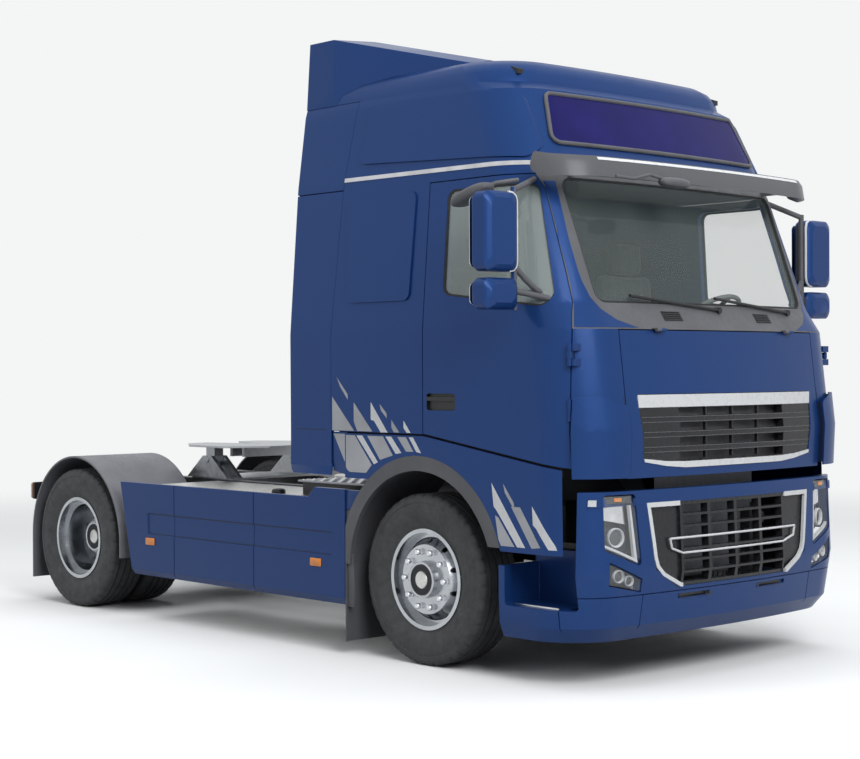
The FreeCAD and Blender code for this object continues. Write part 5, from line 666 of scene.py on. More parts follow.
# Flat pieces in planes beside the truck, such as the side walls behind the grilles and the skirts' front
# ends: body, inner face from the middle, thickness, rim, finish, slot and corners, as metres ahead of the
# front axle and up.
SIDE_PLATES = {
    "radiator_duct": ("chassis", 0.500, 0.006, 0.0015, BLACK, None,
                      [(1.164, 0.545), (1.300, 0.545), (1.300, 0.995), (1.164, 1.060)]),
    "step_baffle": ("chassis", 0.900, 0.005, 0.0015, BLACK, None, rectangle(0.700, 0.600, 1.160, 0.770)),
    "grille_baffle": ("chassis", 0.752, 0.005, 0.0015, BLACK, None, rectangle(0.760, 0.545, 1.270, 0.990)),
    "skirt_nose": ("chassis", 1.215, 0.022, 0.002, SKIRT_BLUE, None,
                   [(-0.623, 0.893), (-0.535, 0.893), (-0.500, 0.955), (-0.455, 1.010), (-0.623, 1.010)]),
    "skirt_flange": ("chassis", 1.215, 0.014, 0.002, DARK, None,
                     [(-0.623, 0.690), (-0.605, 0.690), (-0.600, 0.780), (-0.570, 0.840), (-0.540, 0.892),
                      (-0.623, 0.892)]),
    "fairing_rim": ("cab", 1.2367, 0.008, 0.002, BLUE, None,
                    [(-1.140, 1.165), (-1.137, 1.115), (-1.118, 1.096), (-0.746, 1.096), (-0.734, 1.165)]),
    "panel_tail": ("chassis", 1.231, 0.004, 0.0008, BLUE, None,
                   [(-0.735, 1.364), (-0.604, 1.364), (-0.604, 1.100), (-0.735, 1.124)]),
    "panel_tail_stripe": ("chassis", 1.231, 0.0052, 0.0008, STRIPE, "paint_blue",
                          [(-0.733, 1.352), (-0.606, 1.352), (-0.606, 1.150)]),
    "fender_foot": ("chassis", 1.222, 0.012, 0.003, DARK, None,
                    [(-0.606, 0.296), (-0.552, 0.296), (-0.545, 0.45), (-0.560, 0.62), (-0.606, 0.62)]),
}


def add_side_plates(side, word):
    for name, (body, inner, thick, edge, finish, slot, corners) in SIDE_PLATES.items():
        slab(f"{name}_{word}", body, beside(side * inner, corners), Y * side, thick, finish, slot, edge)


def add_treads(side, word):
    """Tread plate with raised bars over a tank, the dark walls under it and the tank's filler cap."""
    rear, front, inner, outer, top, foot = FRONT_AXLE - 1.34, FRONT_AXLE - 0.64, 0.44, 1.03, 1.030, 0.936
    thick, overhang, pitch, head = 0.012, 0.025, 0.045, 1.020
    bar_foot, bar_top = (-0.001, 0.019, 0.0065), (0.004, 0.013, 0.0025)
    corners = [(x, side * y, top - thick) for x, y in rectangle(rear, inner, front, outer)]
    slab(f"tread_plate_{word}", "chassis", corners, Z, thick, STRIPE, "aluminium", 0.002)
    back, ahead = rear + overhang, front - overhang
    near, far = side * inner, side * (outer - overhang)
    walls = [((back, near), (ahead, near), Y * side), ((back, far), (ahead, far), Y * side),
             ((back, near), (back, far), X), ((ahead, near), (ahead, far), -X)]
    for number, (start, end, way) in enumerate(walls):
        outline = [(*start, foot), (*end, foot), (*end, head), (*start, head)]
        slab(f"tread_wall_{number}_{word}", "chassis", outline, way, 0.004, BLACK, None, 0.001)
    bars = []
    for i in range(int((front - rear) / pitch)):
        for j in range(int((outer - inner) / pitch)):
            middle = Vector((rear + (i + 0.5) * pitch, side * (inner + (j + 0.5) * pitch), top))
            turn = math.radians(45 if (i + j) % 2 else -45)
            long_way = Vector((math.cos(turn), math.sin(turn), 0))
            wide_way = Vector((-long_way.y, long_way.x, 0))
            bars.append(loft([[middle + long_way * long * a + wide_way * wide * b + Z * height
                               for a, b in rectangle(1, 1, -1, -1)]
                              for height, long, wide in (bar_foot, bar_top)]))
    piece(f"tread_bars_{word}", "chassis", *joined(bars), SILVER, "aluminium", False)
    lathe(f"filler_cap_{word}", "chassis", (FRONT_AXLE - 1.51, side * 1.055, 0.934),
          [(0.0, 0.045), (0.010, 0.047), (0.022, 0.045), (0.030, 0.038), (0.034, 0.020), (0.035, 0.0)],
          BLACK, None, Z, X, 48)


# Half width of a tyre, the pitch of twin tyres, and the tread's grooves and cross cuts.
TYRE_HALF, TREAD_HALF, TWIN_PITCH = 0.150, 0.128, 0.343
GROOVES, GROOVE_TOP, GROOVE_FOOT, GROOVE_DEEP = (-0.078, -0.027, 0.027, 0.078), 0.0065, 0.004, 0.013
TYRE_TURNS, CUT_EVERY, CUT_DEEP = 240, 6, 0.009


def tyre_profile():
    """Section of a tyre as pairs of place across it and radius."""
    wall = [(0.1177, 0.2993), (0.1270, 0.318), (0.1400, 0.352), (0.1490, 0.392), (0.1500, 0.415),
            (0.1465, 0.450), (0.1460, 0.452), (0.1485, 0.454), (0.1480, 0.468), (0.1440, 0.482),
            (0.1370, 0.494), (TREAD_HALF, TYRE_RADIUS - 0.004), (0.120, TYRE_RADIUS - 0.001)]
    crown = []
    for groove in GROOVES:
        brink, bed = TYRE_RADIUS - 0.0002, TYRE_RADIUS - GROOVE_DEEP
        crown += [(groove - GROOVE_TOP, brink), (groove - GROOVE_FOOT, bed),
                  (groove + GROOVE_FOOT, bed), (groove + GROOVE_TOP, brink)]
    lining = [(0.1177, 0.284), (0.096, 0.284), (0.126, 0.395), (0.106, 0.480)]
    return ([(-place, radius) for place, radius in wall] + crown + wall[::-1] + lining
            + [(-place, radius) for place, radius in reversed(lining)])


def tyre_rings(centre, side):
    """Sections round a tyre, with cuts across the tread's shoulders."""
    profile, rings = tyre_profile(), []
    for k in range(TYRE_TURNS):
        t = 2 * math.pi * k / TYRE_TURNS
        ring = []
        for place, radius in profile:
            if k % CUT_EVERY == 0 and 0.098 < abs(place) < 0.139 and radius > TYRE_RADIUS - 0.015:
                radius -= CUT_DEEP
            ring.append(centre + Vector((radius * math.cos(t), place * side, radius * math.sin(t))))
        rings.append(ring)
    return rings + rings[:1]


def add_tyres(side, word):
    """Tyres with grooved treads in place of the plain CAD rings."""
    for tyre, wheel, count in (("tyre_front", "wheel_front", 1), ("tyres_rear", "wheels_rear", 2)):
        low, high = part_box(f"{tyre}_{word}")
        middle, outer = (low.x + high.x) / 2, high.y if side > 0 else low.y
        centres = [Vector((middle, outer - side * (TYRE_HALF + index * TWIN_PITCH), TYRE_RADIUS))
                   for index in range(count)]
        skins = [loft(tyre_rings(centre, side), True, False) for centre in centres]
        made = piece(f"{tyre}_{word}_tread", f"{wheel}_{word}", *joined(skins), TYRE, split=28)
        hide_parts(f"{tyre}_{word}")


# Wheel nuts and hub caps: profiles of place outwards and radius.
NUT_CIRCLE, NUT_COUNT, HUB = 0.1675, 10, 0.108
NUT_CAP = [(0, 0.021), (0.004, 0.021), (0.005, 0.0182), (0.027, 0.0178), (0.033, 0.0135), (0.036, 0.006)]
HUB_LIP = [(-0.004, HUB), (0.003, HUB), (0.006, HUB - 0.004), (0.006, HUB - 0.012), (0.003, HUB - 0.016),
           (-0.004, HUB - 0.016), (-0.004, HUB)]
HUB_CUP = [(-0.004, HUB - 0.017), (0.001, HUB - 0.017), (0.001, 0.052), (-0.004, 0.052),
           (-0.004, HUB - 0.017)]
HUB_CORE = [(0, 0.050), (0.004, 0.048), (0.006, 0.040), (0.006, 0.012)]


def add_wheel_parts(side, word):
    """Domed caps on the wheel nuts and stepped caps on the hubs."""
    for wheel, disc, face in (("wheel_front", 1.1430, 1.1812), ("wheels_rear", 0.9325, 1.0812)):
        body = f"{wheel}_{word}"
        low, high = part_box(body)
        middle = Vector(((low.x + high.x) / 2, 0, TYRE_RADIUS))
        caps = [loft([circle(centre + Y * side * place, X, Z, radius, 24) for place, radius in NUT_CAP])
                for centre in circle(middle + Y * side * disc, X, Z, NUT_CIRCLE, NUT_COUNT)]
        piece(f"{body}_nut_caps", body, *joined(caps), CHROME, split=30)
        for label, profile, finish in (("lip", HUB_LIP, RIM_METAL), ("cup", HUB_CUP, CAST),
                                       ("core", HUB_CORE, ALUMINIUM)):
            lathe(f"{body}_hub_{label}", body, middle + Y * side * face, profile, finish, None, Y * side)


# Sheets of the front lamps: corners seen from the front, near and far depth, finish and, where it isn't
# the usual one, the grid's steps.
HEADLAMP = [(0.842, 1.054), (1.046, 1.054), (1.046, 0.770), (0.808, 0.670)]
FOG_LAMP = [(0.806, 0.592), (1.024, 0.690), (1.024, 0.578), (0.806, 0.530)]
LAMP_SHEETS = [
    ("headlamp_cover", HEADLAMP, 0, 0.004, LAMP),
    ("headlamp_well", HEADLAMP, 0.085, 0.092, WELL),
    ("headlamp_top", [(0.846, 1.050), (1.042, 1.050), (1.042, 1.016), (0.844, 1.012)], 0.012, 0.030, WELL),
    ("headlamp_turn", [(0.925, 1.043), (0.975, 1.043), (0.975, 1.024), (0.925, 1.023)], 0.007, 0.014, AMBER,
     4),
    ("headlamp_guide", [(0.856, 1.0), (0.868, 1.0), (0.842, 0.700), (0.822, 0.690)], 0.010, 0.030, WHITE),
    ("headlamp_foot", [(0.828, 0.704), (1.040, 0.792), (1.040, 0.778), (0.822, 0.686)], 0.010, 0.030, WHITE),
    ("headlamp_reflector", [(0.884, 0.998), (1.030, 0.998), (1.030, 0.925), (0.874, 0.895)], 0.040, 0.060,
     CHROME),
    ("fog_cover", FOG_LAMP, 0, 0.004, LAMP),
    ("fog_well", FOG_LAMP, 0.070, 0.077, BLACK),
]
# Round lenses: place seen from the front, depth behind the skin, outer and inner radius.
LENS_RINGS = {
    "headlamp_projector_{}": (0.958, 0.826, 0.045, 0.054, 0.043),
    "fog_round_{}_0": (0.960, 0.618, 0.030, 0.036, 0.028),
    "fog_round_{}_1": (0.880, 0.588, 0.030, 0.030, 0.022),
}


def lamp_sheet(name, tree, side, corners, near, far, material, steps=10):
    """Sheet between two depths behind the skin, inside four corners seen from the front."""
    first, second, third, fourth = (Vector((side * y, z)) for y, z in corners)
    skin = []
    for i in range(steps + 1):
        top, low = first.lerp(second, i / steps), fourth.lerp(third, i / steps)
        skin += [on_skin(tree, "front", *top.lerp(low, k / steps))[0] for k in range(steps + 1)]
    return sheet(name, "chassis", [point - X * near for point in skin], [point - X * far for point in skin],
                 steps + 1, material, "lamp_clear", 30)


def add_lamps(side, word):
    """Headlamp and fog lamp with bezels, projectors and light guides."""
    tree = ray_tree("lamps")
    for name, corners, near, far, finish, *steps in LAMP_SHEETS:
        made = lamp_sheet(f"{name}_{word}", tree, side, corners, near, far, finish, *steps)
        if name == "headlamp_cover":
            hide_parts("lamps")
    out = Vector((0.97, side * 0.24, 0)).normalized()
    for name, (y, z, deep, outer, inner) in LENS_RINGS.items():
        centre = on_skin(tree, "front", side * y, z)[0] - out * deep
        ring = [(0, outer), (0.016, outer), (0.020, outer - 0.004), (0.012, inner), (0, inner), (0, outer)]
        dome = [(0.002, inner - 0.002), (0.008, inner * 0.85), (0.013, inner * 0.55), (0.016, inner * 0.2)]
        for suffix, profile, finish in (("ring", ring, WHITE), ("dome", dome, LAMP)):
            lathe(f"{name.format(word)}_{suffix}", "chassis", centre, profile, finish, "lamp_clear",
                  out, out.orthogonal().normalized(), 40)


def add_rear_lamps(side, word):
    """Rear lamp with two red fields and an amber one in a dark case."""
    rear = min(vertex.co.x for vertex in NODES["lamps"].data.vertices)
    inner, wide, low, high, margin, set_in = 0.89, 0.30, 0.760, 0.880, 0.005, 0.026
    for index, (start, end, finish) in enumerate(((0, 0.42, RED), (0.44, 0.70, RED), (0.72, 0.98, AMBER))):
        field = rectangle(inner + wide * start, low, inner + wide * end, high)
        outline = rounded(facing(rear, side, field), 0.012)
        slab(f"rear_lamp_{word}_{index}", "chassis", outline, X, 0.030, finish)
    case = rectangle(inner, low - margin, inner + wide, high + margin)
    outline = rounded(facing(rear + set_in, side, case), 0.014)
    slab(f"rear_lamp_case_{word}", "chassis", outline, X, 0.034, BLACK)


def rim_loop(node, out, facing=0.35):
    """Border of a pane's outer face, in order."""
    mesh = NODES[node].data
    uses = {}
    for face in mesh.polygons:
        if face.normal.dot(out) > facing:
            corners = [tuple(round(part, 4) for part in mesh.vertices[i].co) for i in face.vertices]
            uses.update(dict.fromkeys(zip(corners, corners[1:] + corners[:1])))
    border = {a: b for a, b in uses if (b, a) not in uses}
    start = next(iter(border))
    loop, here = [start], border[start]
    while here != start and here in border:
        loop.append(here)
        here = border[here]
    return [Vector(point) for point in loop]


def gasket(name, body, node, out, radius, material, slot=None, step=0.03):
    """Round seal along the border of a pane's outer face."""
    loop = rim_loop(node, out)
    closed = loop + [loop[0]]
    total = sum((b - a).length for a, b in zip(closed, closed[1:]))
    count = max(int(total / step), 8)
    places = [along(closed, i / count) for i in range(count)]
    rings = []
    for i, point in enumerate(places):
        way = (places[(i + 1) % count] - places[i - 1]).normalized()
        across = way.cross(out).normalized()
        rings.append(circle(point, across, way.cross(across), radius, 10))
    return piece(name, body, *loft(rings + rings[:1], True, False), material, slot)


def add_screen_gaskets():
    """Rubber round the windscreen and the frame of the sign panel."""
    gasket("screen_gasket", "cab", "windscreen", X, 0.011, SEAL)
    gasket("sign_frame", "cab", "sign_panel", X, 0.013, DARK, NO_SLOT)


def add_window_gasket(side, word):
    gasket(f"window_gasket_{word}", f"door_{word}", f"door_glass_{word}", Y * side, 0.011, SEAL)


# Pennants of the decals: finish, then the rear and the front edge from the top point down, as metres
# ahead of the front axle and up.
CAB_PENNANTS = [
    (STRIPE, [(-0.732, 1.579), (-0.732, 1.372)], [(-0.732, 1.579), (-0.525, 1.372)]),
    (STRIPE, [(-0.690, 1.700), (-0.655, 1.640), (-0.585, 1.561)],
     [(-0.690, 1.700), (-0.585, 1.594), (-0.585, 1.575)]),
    (STRIPE, [(-0.529, 1.546), (-0.529, 1.430), (-0.497, 1.372)], [(-0.529, 1.546), (-0.358, 1.372)]),
    (WHITE, [(-0.373, 1.548), (-0.373, 1.440), (-0.345, 1.440), (-0.283, 1.369)],
     [(-0.373, 1.548), (-0.222, 1.369)]),
    (STRIPE, [(-0.292, 1.539), (-0.280, 1.500), (-0.229, 1.454)],
     [(-0.292, 1.539), (-0.229, 1.483), (-0.229, 1.465)]),
    (STRIPE, [(-0.187, 1.446), (-0.187, 1.400), (-0.165, 1.372)], [(-0.187, 1.446), (-0.117, 1.372)]),
    (WHITE, [(-0.080, 1.442), (-0.080, 1.400), (-0.052, 1.372)], [(-0.080, 1.442), (-0.020, 1.372)]),
]
PANEL_PENNANTS = [
    (STRIPE, [(-0.604, 1.346), (-0.604, 1.150), (-0.578, 1.122), (-0.418, 1.122)],
     [(-0.520, 1.346), (-0.365, 1.172)]),
    (WHITE, [(-0.506, 1.346), (-0.345, 1.176)], [(-0.452, 1.346), (-0.310, 1.190)]),
    (STRIPE, [(-0.405, 1.346), (-0.290, 1.205)], [(-0.262, 1.346), (-0.175, 1.235)]),
    (WHITE, [(-0.240, 1.346), (-0.150, 1.245)], [(-0.190, 1.346), (-0.100, 1.252)]),
    (STRIPE, [(-0.135, 1.346), (-0.060, 1.262)], [(-0.060, 1.346), (0.005, 1.262)]),
    (WHITE, [(-0.035, 1.346), (0.030, 1.262)], [(0.000, 1.346), (0.070, 1.256)]),
    (WHITE, [(0.648, 1.108), (0.664, 0.980), (0.690, 0.955), (0.845, 0.764)],
     [(0.648, 1.108), (0.905, 0.764)]),
    (STRIPE, [(0.676, 0.930), (0.700, 0.800), (0.720, 0.764)], [(0.700, 0.920), (0.825, 0.764)]),
    (STRIPE, [(0.738, 1.110), (0.752, 1.060), (0.822, 0.970)],
     [(0.738, 1.110), (0.822, 1.005), (0.822, 0.990)]),
    (STRIPE, [(0.800, 0.985), (0.955, 0.764)], [(0.868, 0.985), (1.020, 0.772)]),
    (WHITE, [(0.958, 0.995), (0.965, 0.890), (0.985, 0.880), (1.075, 0.764)],
     [(0.958, 0.995), (1.118, 0.785), (1.125, 0.764)]),
]
# Seams of the skirt: start, end, step across and steps.
SKIRT_SEAMS = {
    "0": ((-2.762, 0.738), (-0.770, 0.738), (0, 0.0045), 160),
    "1": ((-2.729, 0.602), (-0.770, 0.602), (0, 0.0045), 160),
    "end": ((-2.762, 0.738), (-2.729, 0.602), (0.005, 0), 12),
}


def add_stripes(side, word):
    """Pennants low on the cab and on the panels round the wheel, and the seams of skirt and fairing."""
    for label, body, skin, pennants in (("cab", "cab", "cab_sides", CAB_PENNANTS),
                                        ("panel", "chassis", "fender_panels", PANEL_PENNANTS)):
        for index, (finish, rear, ahead) in enumerate(pennants):
            ribbon(f"{label}_stripe_{word}_{index}", body, [skin], word, rear, ahead, finish, "paint_grey",
                   lift=0.0012, depth=0.0016, steps=16, rows=3)
    seam(f"fairing_seam_{word}", "cab", "side_fairings", word, (-1.146, 1.371), (-0.742, 1.371),
         (0, 0.005), 8)
    for label, line in SKIRT_SEAMS.items():
        seam(f"skirt_seam_{word}_{label}", "chassis", "side_skirts", word, *line)


def add_markers(side, word):
    """Amber side lamps, the wedge and lamp of the bumper's corner and the strip on the step."""
    tree = ray_tree("side_skirts")
    half_long, half_high, proud, sink = 0.052, 0.025, 0.008, 0.002
    for index, (u, v) in enumerate(((-2.714, 0.548), (-0.897, 0.547))):
        skin = on_skin(tree, word, u, v)[0].y
        box = rectangle(u - half_long, v - half_high, u + half_long, v + half_high)
        slab(f"side_marker_{word}_{index}", "chassis", rounded(beside(skin - side * sink, box), 0.008),
             Y * side, proud + sink, AMBER)
    ribbon(f"side_wedge_{word}", "chassis", ["bumper"], word, [(1.262, 0.998), (1.345, 0.994)],
           [(1.264, 1.044), (1.345, 1.036)], BLUE, lift=0.016, depth=0.020, steps=10)
    ribbon(f"side_lamp_{word}", "chassis", ["bumper"], word, [(1.264, 1.004), (1.290, 1.003)],
           [(1.265, 1.038), (1.290, 1.037)], LENS, lift=0.019, depth=0.004, steps=4)
    low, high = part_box("step_boxes")
    edge = (high.y if side > 0 else low.y) - side * 0.012
    slab(f"step_strip_{word}", "chassis", rounded(beside(edge, rectangle(0.75, 0.424, 1.09, 0.444)), 0.006),
         Y * side, 0.010, SILVER, None, 0.002)


# Edges of the blue flank between the dark band beside the screen and the door's seam, on the left side,
# as metres ahead of the front axle, aside and up.
FLANK_BAND = [(0.905, 0.992, 2.790), (0.964, 1.003, 2.633), (1.023, 1.0136, 2.466), (1.092, 1.014, 2.286),
              (1.116, 1.009, 2.227), (1.157, 0.9885, 2.138), (1.2005, 0.9505, 2.072), (1.249, 0.873, 2.013),
              (1.291, 0.742, 1.971)]
FLANK_SEAM = [(0.866, 1.049, 2.790), (0.905, 1.052, 2.678), (0.962, 1.057, 2.526), (1.010, 1.0655, 2.420),
              (1.051, 1.067, 2.3155), (1.084, 1.071, 2.226), (1.130, 1.090, 2.0926), (1.1755, 1.1407, 1.970),
              (1.2295, 1.0714, 1.969), (1.2724, 0.945, 1.969), (1.2915, 0.744, 1.970)]


def add_pillar_flank(side, word):
    band, edge = ([(x, side * y, z) for x, y, z in line] for line in (FLANK_BAND, FLANK_SEAM))
    ribbon(f"pillar_flank_{word}", "cab", ["cab_front"], from_way((1, side, 0.1)), band, edge, BLUE,
           lift=0.0015, depth=0.002, steps=80, rows=8)


def add_seal(side, word):
    """Dark strip that closes the gap between the cab's sill and the panels below it."""
    deep, high, inward, thick = 0.060, 0.012, 0.045, 0.008
    rear, length, count = -0.72, 1.84, 44
    lowest, highest, step, reach = 1.0, 1.6, 0.004, 3.5
    tree = ray_tree("cab_sides", f"door_{word}", "corner_panels")
    rings = []
    for i in range(count + 1):
        start = Vector((FRONT_AXLE + rear + i / count * length, side * START_ASIDE, lowest))
        while tree.ray_cast(start, Y * -side, reach)[0] is None and start.z < highest:
            start.z += step
        hit = tree.ray_cast(start, Y * -side, reach)[0]
        if hit is not None:
            outer, inner = hit.y - side * inward, hit.y - side * (inward + thick)
            section = [(outer, -deep), (outer, high), (inner, high), (inner, -deep)]
            rings.append([Vector((hit.x, y, start.z + rise)) for y, rise in section])
    piece(f"sill_seal_{word}", "cab", *loft(rings), SEAL)


# Channels sewn across the cushions: axis across them, place as a share of the half size, depth, width.
SIDE_CHANNELS = ((1, -0.55, 0.008, 0.035), (1, 0.55, 0.008, 0.035))
SEAT_CHANNELS = SIDE_CHANNELS + ((0, -0.35, 0.005, 0.03), (0, 0.30, 0.005, 0.03))
BACK_CHANNELS = SIDE_CHANNELS + ((2, -0.30, 0.005, 0.03), (2, 0.35, 0.005, 0.03))
BUNK_CHANNELS = ((1, -0.33, 0.006, 0.012), (1, 0.33, 0.006, 0.012))


def cushion(name, low, high, broad, crown, pinch, rim, channels=()):
    """Crowned pad inside a box: its broad faces swell, its sides pull in and channels are sewn across it."""
    low, high = Vector(low), Vector(high)
    centre, half = (low + high) / 2, (high - low) / 2
    first, second = (axis for axis in range(3) if axis != broad)
    work = bmesh.new()
    bmesh.ops.create_cube(work, size=2)
    bmesh.ops.subdivide_edges(work, edges=work.edges[:], cuts=22, use_grid_fill=True)
    for vertex in work.verts:
        at = Vector([vertex.co[axis] * half[axis] for axis in range(3)])
        core = Vector([max(-(half[axis] - rim), min(half[axis] - rim, at[axis])) for axis in range(3)])
        if (at - core).length > 0:
            at = core + (at - core).normalized() * rim
        shares = [at[axis] / half[axis] for axis in range(3)]
        at[broad] *= 1 - crown * (shares[first] ** 2 + shares[second] ** 2) / 2
        at[first] *= 1 - pinch * (1 - shares[second] ** 2)
        at[second] *= 1 - pinch * (1 - shares[first] ** 2)
        for axis, where, depth, width in channels:
            at[broad] -= math.copysign(depth, at[broad]) * math.exp(-((shares[axis] - where) / width) ** 2)
        vertex.co = at + centre
    mesh = bpy.data.meshes.new(name)
    work.to_mesh(mesh)
    work.free()
    mesh.materials.append(CLOTH)
    mesh.shade_smooth()
    thing = put(name, mesh)
    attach(thing, "cab")
    return thing


def add_seat(side, word):
    """Seat with an upholstered cushion, backrest and headrest on a plain base."""
    low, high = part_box("seats")
    thick, seat_top, wide, edge, inset, base_rear, back_below = 0.140, 0.420, 0.5, 0.006, 0.09, 0.22, 0.21
    near, far = sorted((side * (high.y - wide), side * high.y))
    under, top = low.z + seat_top - thick, low.z + seat_top
    seat = cushion(f"seat_cushion_{word}", (low.x + thick + edge, near + edge, under),
                   (high.x - edge, far - edge, top), 2, 0.2, 0.02, 0.05, SEAT_CHANNELS)
    if side > 0:
        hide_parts("seats")
    cushion(f"seat_back_{word}", (low.x, near + edge, under),
            (low.x + thick, far - edge, high.z - back_below), 0, 0.25, 0.03, 0.05, BACK_CHANNELS)
    middle, rest_half, rest_high, rest_set_in, rest_slimmer = (near + far) / 2, 0.14, 0.205, 0.02, 0.01
    cushion(f"headrest_{word}", (low.x + rest_set_in, middle - rest_half, high.z - rest_high),
            (low.x + thick - rest_slimmer, middle + rest_half, high.z), 0, 0.2, 0.02, 0.04)
    base = rectangle(low.x + base_rear, near + inset, high.x - inset, far - inset)
    slab(f"seat_base_{word}", "cab", rounded([(x, y, low.z) for x, y in base], 0.04), Z, seat_top - thick,
         BLACK, "interior_plastic", 0.012)


def add_bunk():
    low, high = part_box("bunk")
    mattress = cushion("bunk_mattress", low, high, 2, 0.12, 0.006, 0.06, BUNK_CHANNELS)
    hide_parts("bunk")


def add_mirror_parts(side, word):
    """Glasses, bright edges and stays of the mirrors."""
    door = f"door_{word}"
    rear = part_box("mirrors_left")[0].x
    inner, outer, margin = 1.375, 1.575, 0.025
    for label, bottom, top in (("upper", 2.270, 2.700), ("lower", 2.065, 2.235)):
        pane = facing(rear, side, rectangle(inner, bottom + margin, outer, top - margin))
        slab(f"mirror_glass_{label}_{word}", door, rounded(pane, 0.03), -X, 0.004, MIRROR, None, 0.0012)
    edge = [(1.405, 2.272), (1.372, 2.278), (1.352, 2.296), (1.3435, 2.330), (1.3435, 2.40), (1.3435, 2.50),
            (1.3435, 2.60), (1.3435, 2.650), (1.352, 2.680), (1.376, 2.696), (1.410, 2.700)]
    tube(f"mirror_edge_{word}", door, facing(FRONT_AXLE + 0.945, side, edge), 0.008, WHITE, 10)
    stay = [(0.92, 1.335, 2.30), (0.935, 1.27, 2.235), (0.955, 1.20, 2.175), (0.975, 1.135, 2.145)]
    tube(f"mirror_stay_{word}", door, [(FRONT_AXLE + u, side * y, z) for u, y, z in stay], 0.017, DARK)


# The mirrors over the kerb and over the front: body, middle, half sizes, pitch, arm and the arm's radius,
# with places from the front axle.
SMALL_MIRRORS = {
    "kerb_mirror": ("door_right", (0.66, -1.40, 2.705), (0.150, 0.075, 0.038), 17,
                    [(0.72, -1.39, 2.735), (0.78, -1.33, 2.765), (0.84, -1.22, 2.785)], 0.014),
    "front_mirror": ("cab", (1.302, -0.44, 2.786), (0.055, 0.115, 0.030), -6,
                     [(1.235, -0.86, 2.800), (1.262, -0.74, 2.792), (1.275, -0.62, 2.822),
                      (1.290, -0.53, 2.805)], 0.009),
}


def egg(centre, half_sizes, pitch, turns=32, rows=16, squareness=0.8):
    """Points and faces of a flattened rounded housing, pitched about the side axis."""
    turn = Matrix.Rotation(math.radians(-pitch), 3, "Y")
    rings = []
    for i in range(1, rows):
        tilt = math.pi * i / rows
        ring = []
        for place in circle(Z * math.cos(tilt), X, Y, math.sin(tilt), turns):
            shape = [math.copysign(abs(part) ** squareness, part) * size
                     for part, size in zip(place, half_sizes)]
            ring.append(centre + turn @ Vector(shape))
        rings.append(ring)
    return loft(rings)


def add_small_mirrors():
    """Housings and arms of the mirrors over the kerb and over the front."""
    for name, (body, middle, half_sizes, pitch, arm, radius) in SMALL_MIRRORS.items():
        piece(name, body, *egg(AXLE_FOOT + Vector(middle), half_sizes, pitch), DARK, split=50)
        tube(f"{name}_arm", body, [AXLE_FOOT + Vector(place) for place in arm], radius, DARK, 10)


for side, word in SIDES:
    for add in (dress_parts, add_side_trim, add_side_plates, add_treads, add_tyres, add_wheel_parts,
                add_lamps, add_rear_lamps, add_window_gasket, add_stripes, add_markers, add_pillar_flank,
                add_seal, add_seat, add_mirror_parts):
        add(side, word)
for add in (add_front_trim, add_radiator_fins, add_screen_gaskets, add_bunk, add_small_mirrors):
    add()

# The stage: the pale colour that the camera sees, the tone that lights the truck from the floor, the
# floor's size and where it fades, and the sky's strength, tint and levels from nadir to zenith.
PALE, FLOOR_RETURN = "#f4f5f5", "#77797d"
FLOOR_REACH, FADE_NEAR, FADE_FAR = 60, 6.0, 15.0
SKY_STRENGTH = 0.68
SKY_LEVELS = [(0.0, 0.16), (0.5, 0.24), (0.72, 1.0), (1.0, 1.5)]
SKY_TINT = (0.95, 0.975, 1.0)
LAMP_TARGET = Vector((0, 0, 1.5))
# Area lights: place, size, power and whether only reflections show the light.
LIGHTS = {
    "key": ((10, -4, 7), 5, 850, False),
    "side": ((-4, -10, 6), 7, 310, False),
    "top": ((0, 1, 11), 9, 520, False),
    "fill": ((8, 9, 6), 6, 150, False),
    "sheen": ((10, -4, 6), 5, 300, True),
}
# Sockets of a colour mix node.
MIX_FIRST, MIX_SECOND, MIX_RESULT = 6, 7, 2


def camera_share(made):
    """1 for what the camera sees straight, in a mirror or through glass, else 0."""
    rays = made.add("ShaderNodeLightPath").outputs
    share = rays["Is Camera Ray"]
    for ray in ("Is Transmission Ray", "Is Glossy Ray"):
        larger = made.add("ShaderNodeMath", operation="MAXIMUM")
        made.link(share, larger.inputs[0])
        made.link(rays[ray], larger.inputs[1])
        share = larger.outputs[0]
    return share


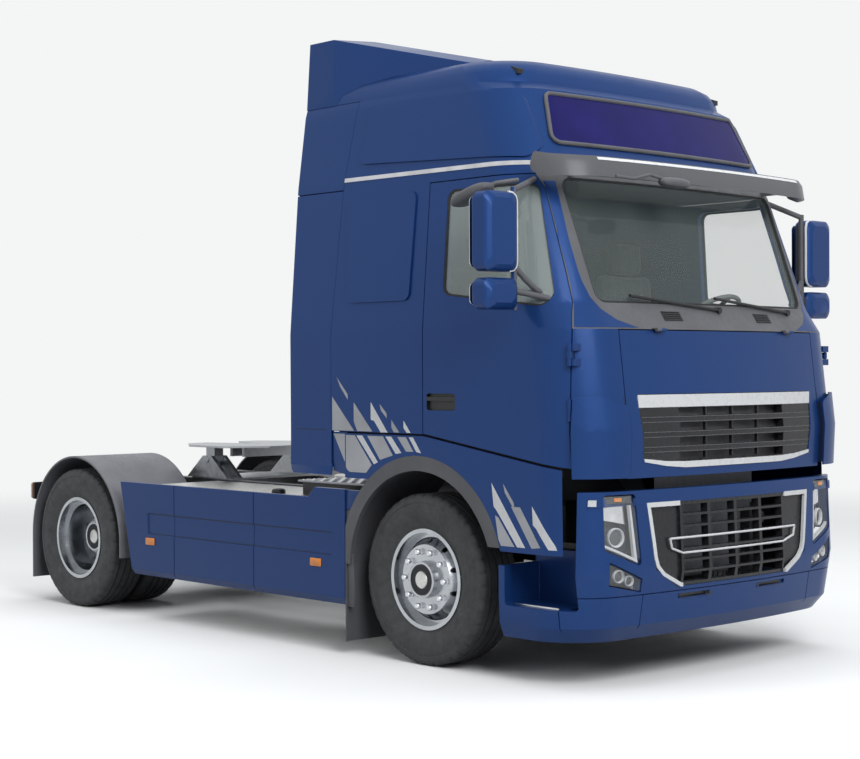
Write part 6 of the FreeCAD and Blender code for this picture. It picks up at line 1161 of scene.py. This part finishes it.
def make_floor():
    """Pale floor that fades into the white backdrop."""
    mesh = bpy.data.meshes.new("floor")
    corners = rectangle(-FLOOR_REACH, -FLOOR_REACH, FLOOR_REACH, FLOOR_REACH)
    mesh.from_pydata([(x, y, 0) for x, y in corners], [], [(0, 1, 2, 3)])
    floor = put("floor", mesh)
    made = surface("floor_paint")
    tone = made.add("ShaderNodeMix", data_type="RGBA")
    tone.inputs[MIX_FIRST].default_value = colour(FLOOR_RETURN)
    made.link(camera_share(made), tone.inputs["Factor"])
    seen_tone = made.ramp(made.noise(0.8, 3), (0.3, shade(PALE, 0.93)), (0.7, shade(PALE, 0.95)))
    made.link(seen_tone, tone.inputs[MIX_SECOND])
    made.link(tone.outputs[MIX_RESULT], made.shader.inputs["Base Color"])
    made.set(Roughness=0.9)
    length = made.add("ShaderNodeVectorMath", operation="LENGTH")
    made.link(made.place, length.inputs[0])
    fade = made.add("ShaderNodeMapRange", {"From Min": FADE_NEAR, "From Max": FADE_FAR},
                    interpolation_type="SMOOTHSTEP")
    made.link(length.outputs["Value"], fade.inputs["Value"])
    seen = made.add("ShaderNodeMath", operation="MULTIPLY")
    made.link(fade.outputs["Result"], seen.inputs[0])
    made.link(camera_share(made), seen.inputs[1])
    glow = made.add("ShaderNodeEmission", {"Color": colour(PALE)})
    made.mix_in(seen.outputs[0], glow, "Material Output")
    mesh.materials.append(made.owner)


def make_world():
    """Soft light from the sky and a pale backdrop."""
    world = bpy.data.worlds.new("studio")
    bpy.context.scene.world = world
    made = Nodes(world, "Background", "Generated")
    made.set(Strength=SKY_STRENGTH)
    parts = made.add("ShaderNodeSeparateXYZ")
    made.link(made.place, parts.inputs[0])
    stops = [(where, (*(level * share for share in SKY_TINT), 1)) for where, level in SKY_LEVELS]
    made.link(made.ramp(parts.outputs["Z"], *stops, blend="EASE"), made.shader.inputs["Color"])
    pale = made.add("ShaderNodeBackground", {"Color": colour(PALE)})
    made.mix_in(camera_share(made), pale, "World Output")


def make_lights():
    """Large soft lights round the truck."""
    for name, (place, size, power, gloss_only) in LIGHTS.items():
        data = bpy.data.lights.new(name, "AREA")
        data.size = size
        data.energy = power
        lamp = put(name, data)
        lamp.location = place
        lamp.rotation_euler = (LAMP_TARGET - Vector(place)).to_track_quat("-Z", "Y").to_euler()
        lamp.visible_glossy = gloss_only
        lamp.visible_diffuse = not gloss_only
        lamp.visible_transmission = not gloss_only


make_camera()
make_floor()
make_world()
make_lights()
bpy.context.scene.view_settings.view_transform = "Standard"
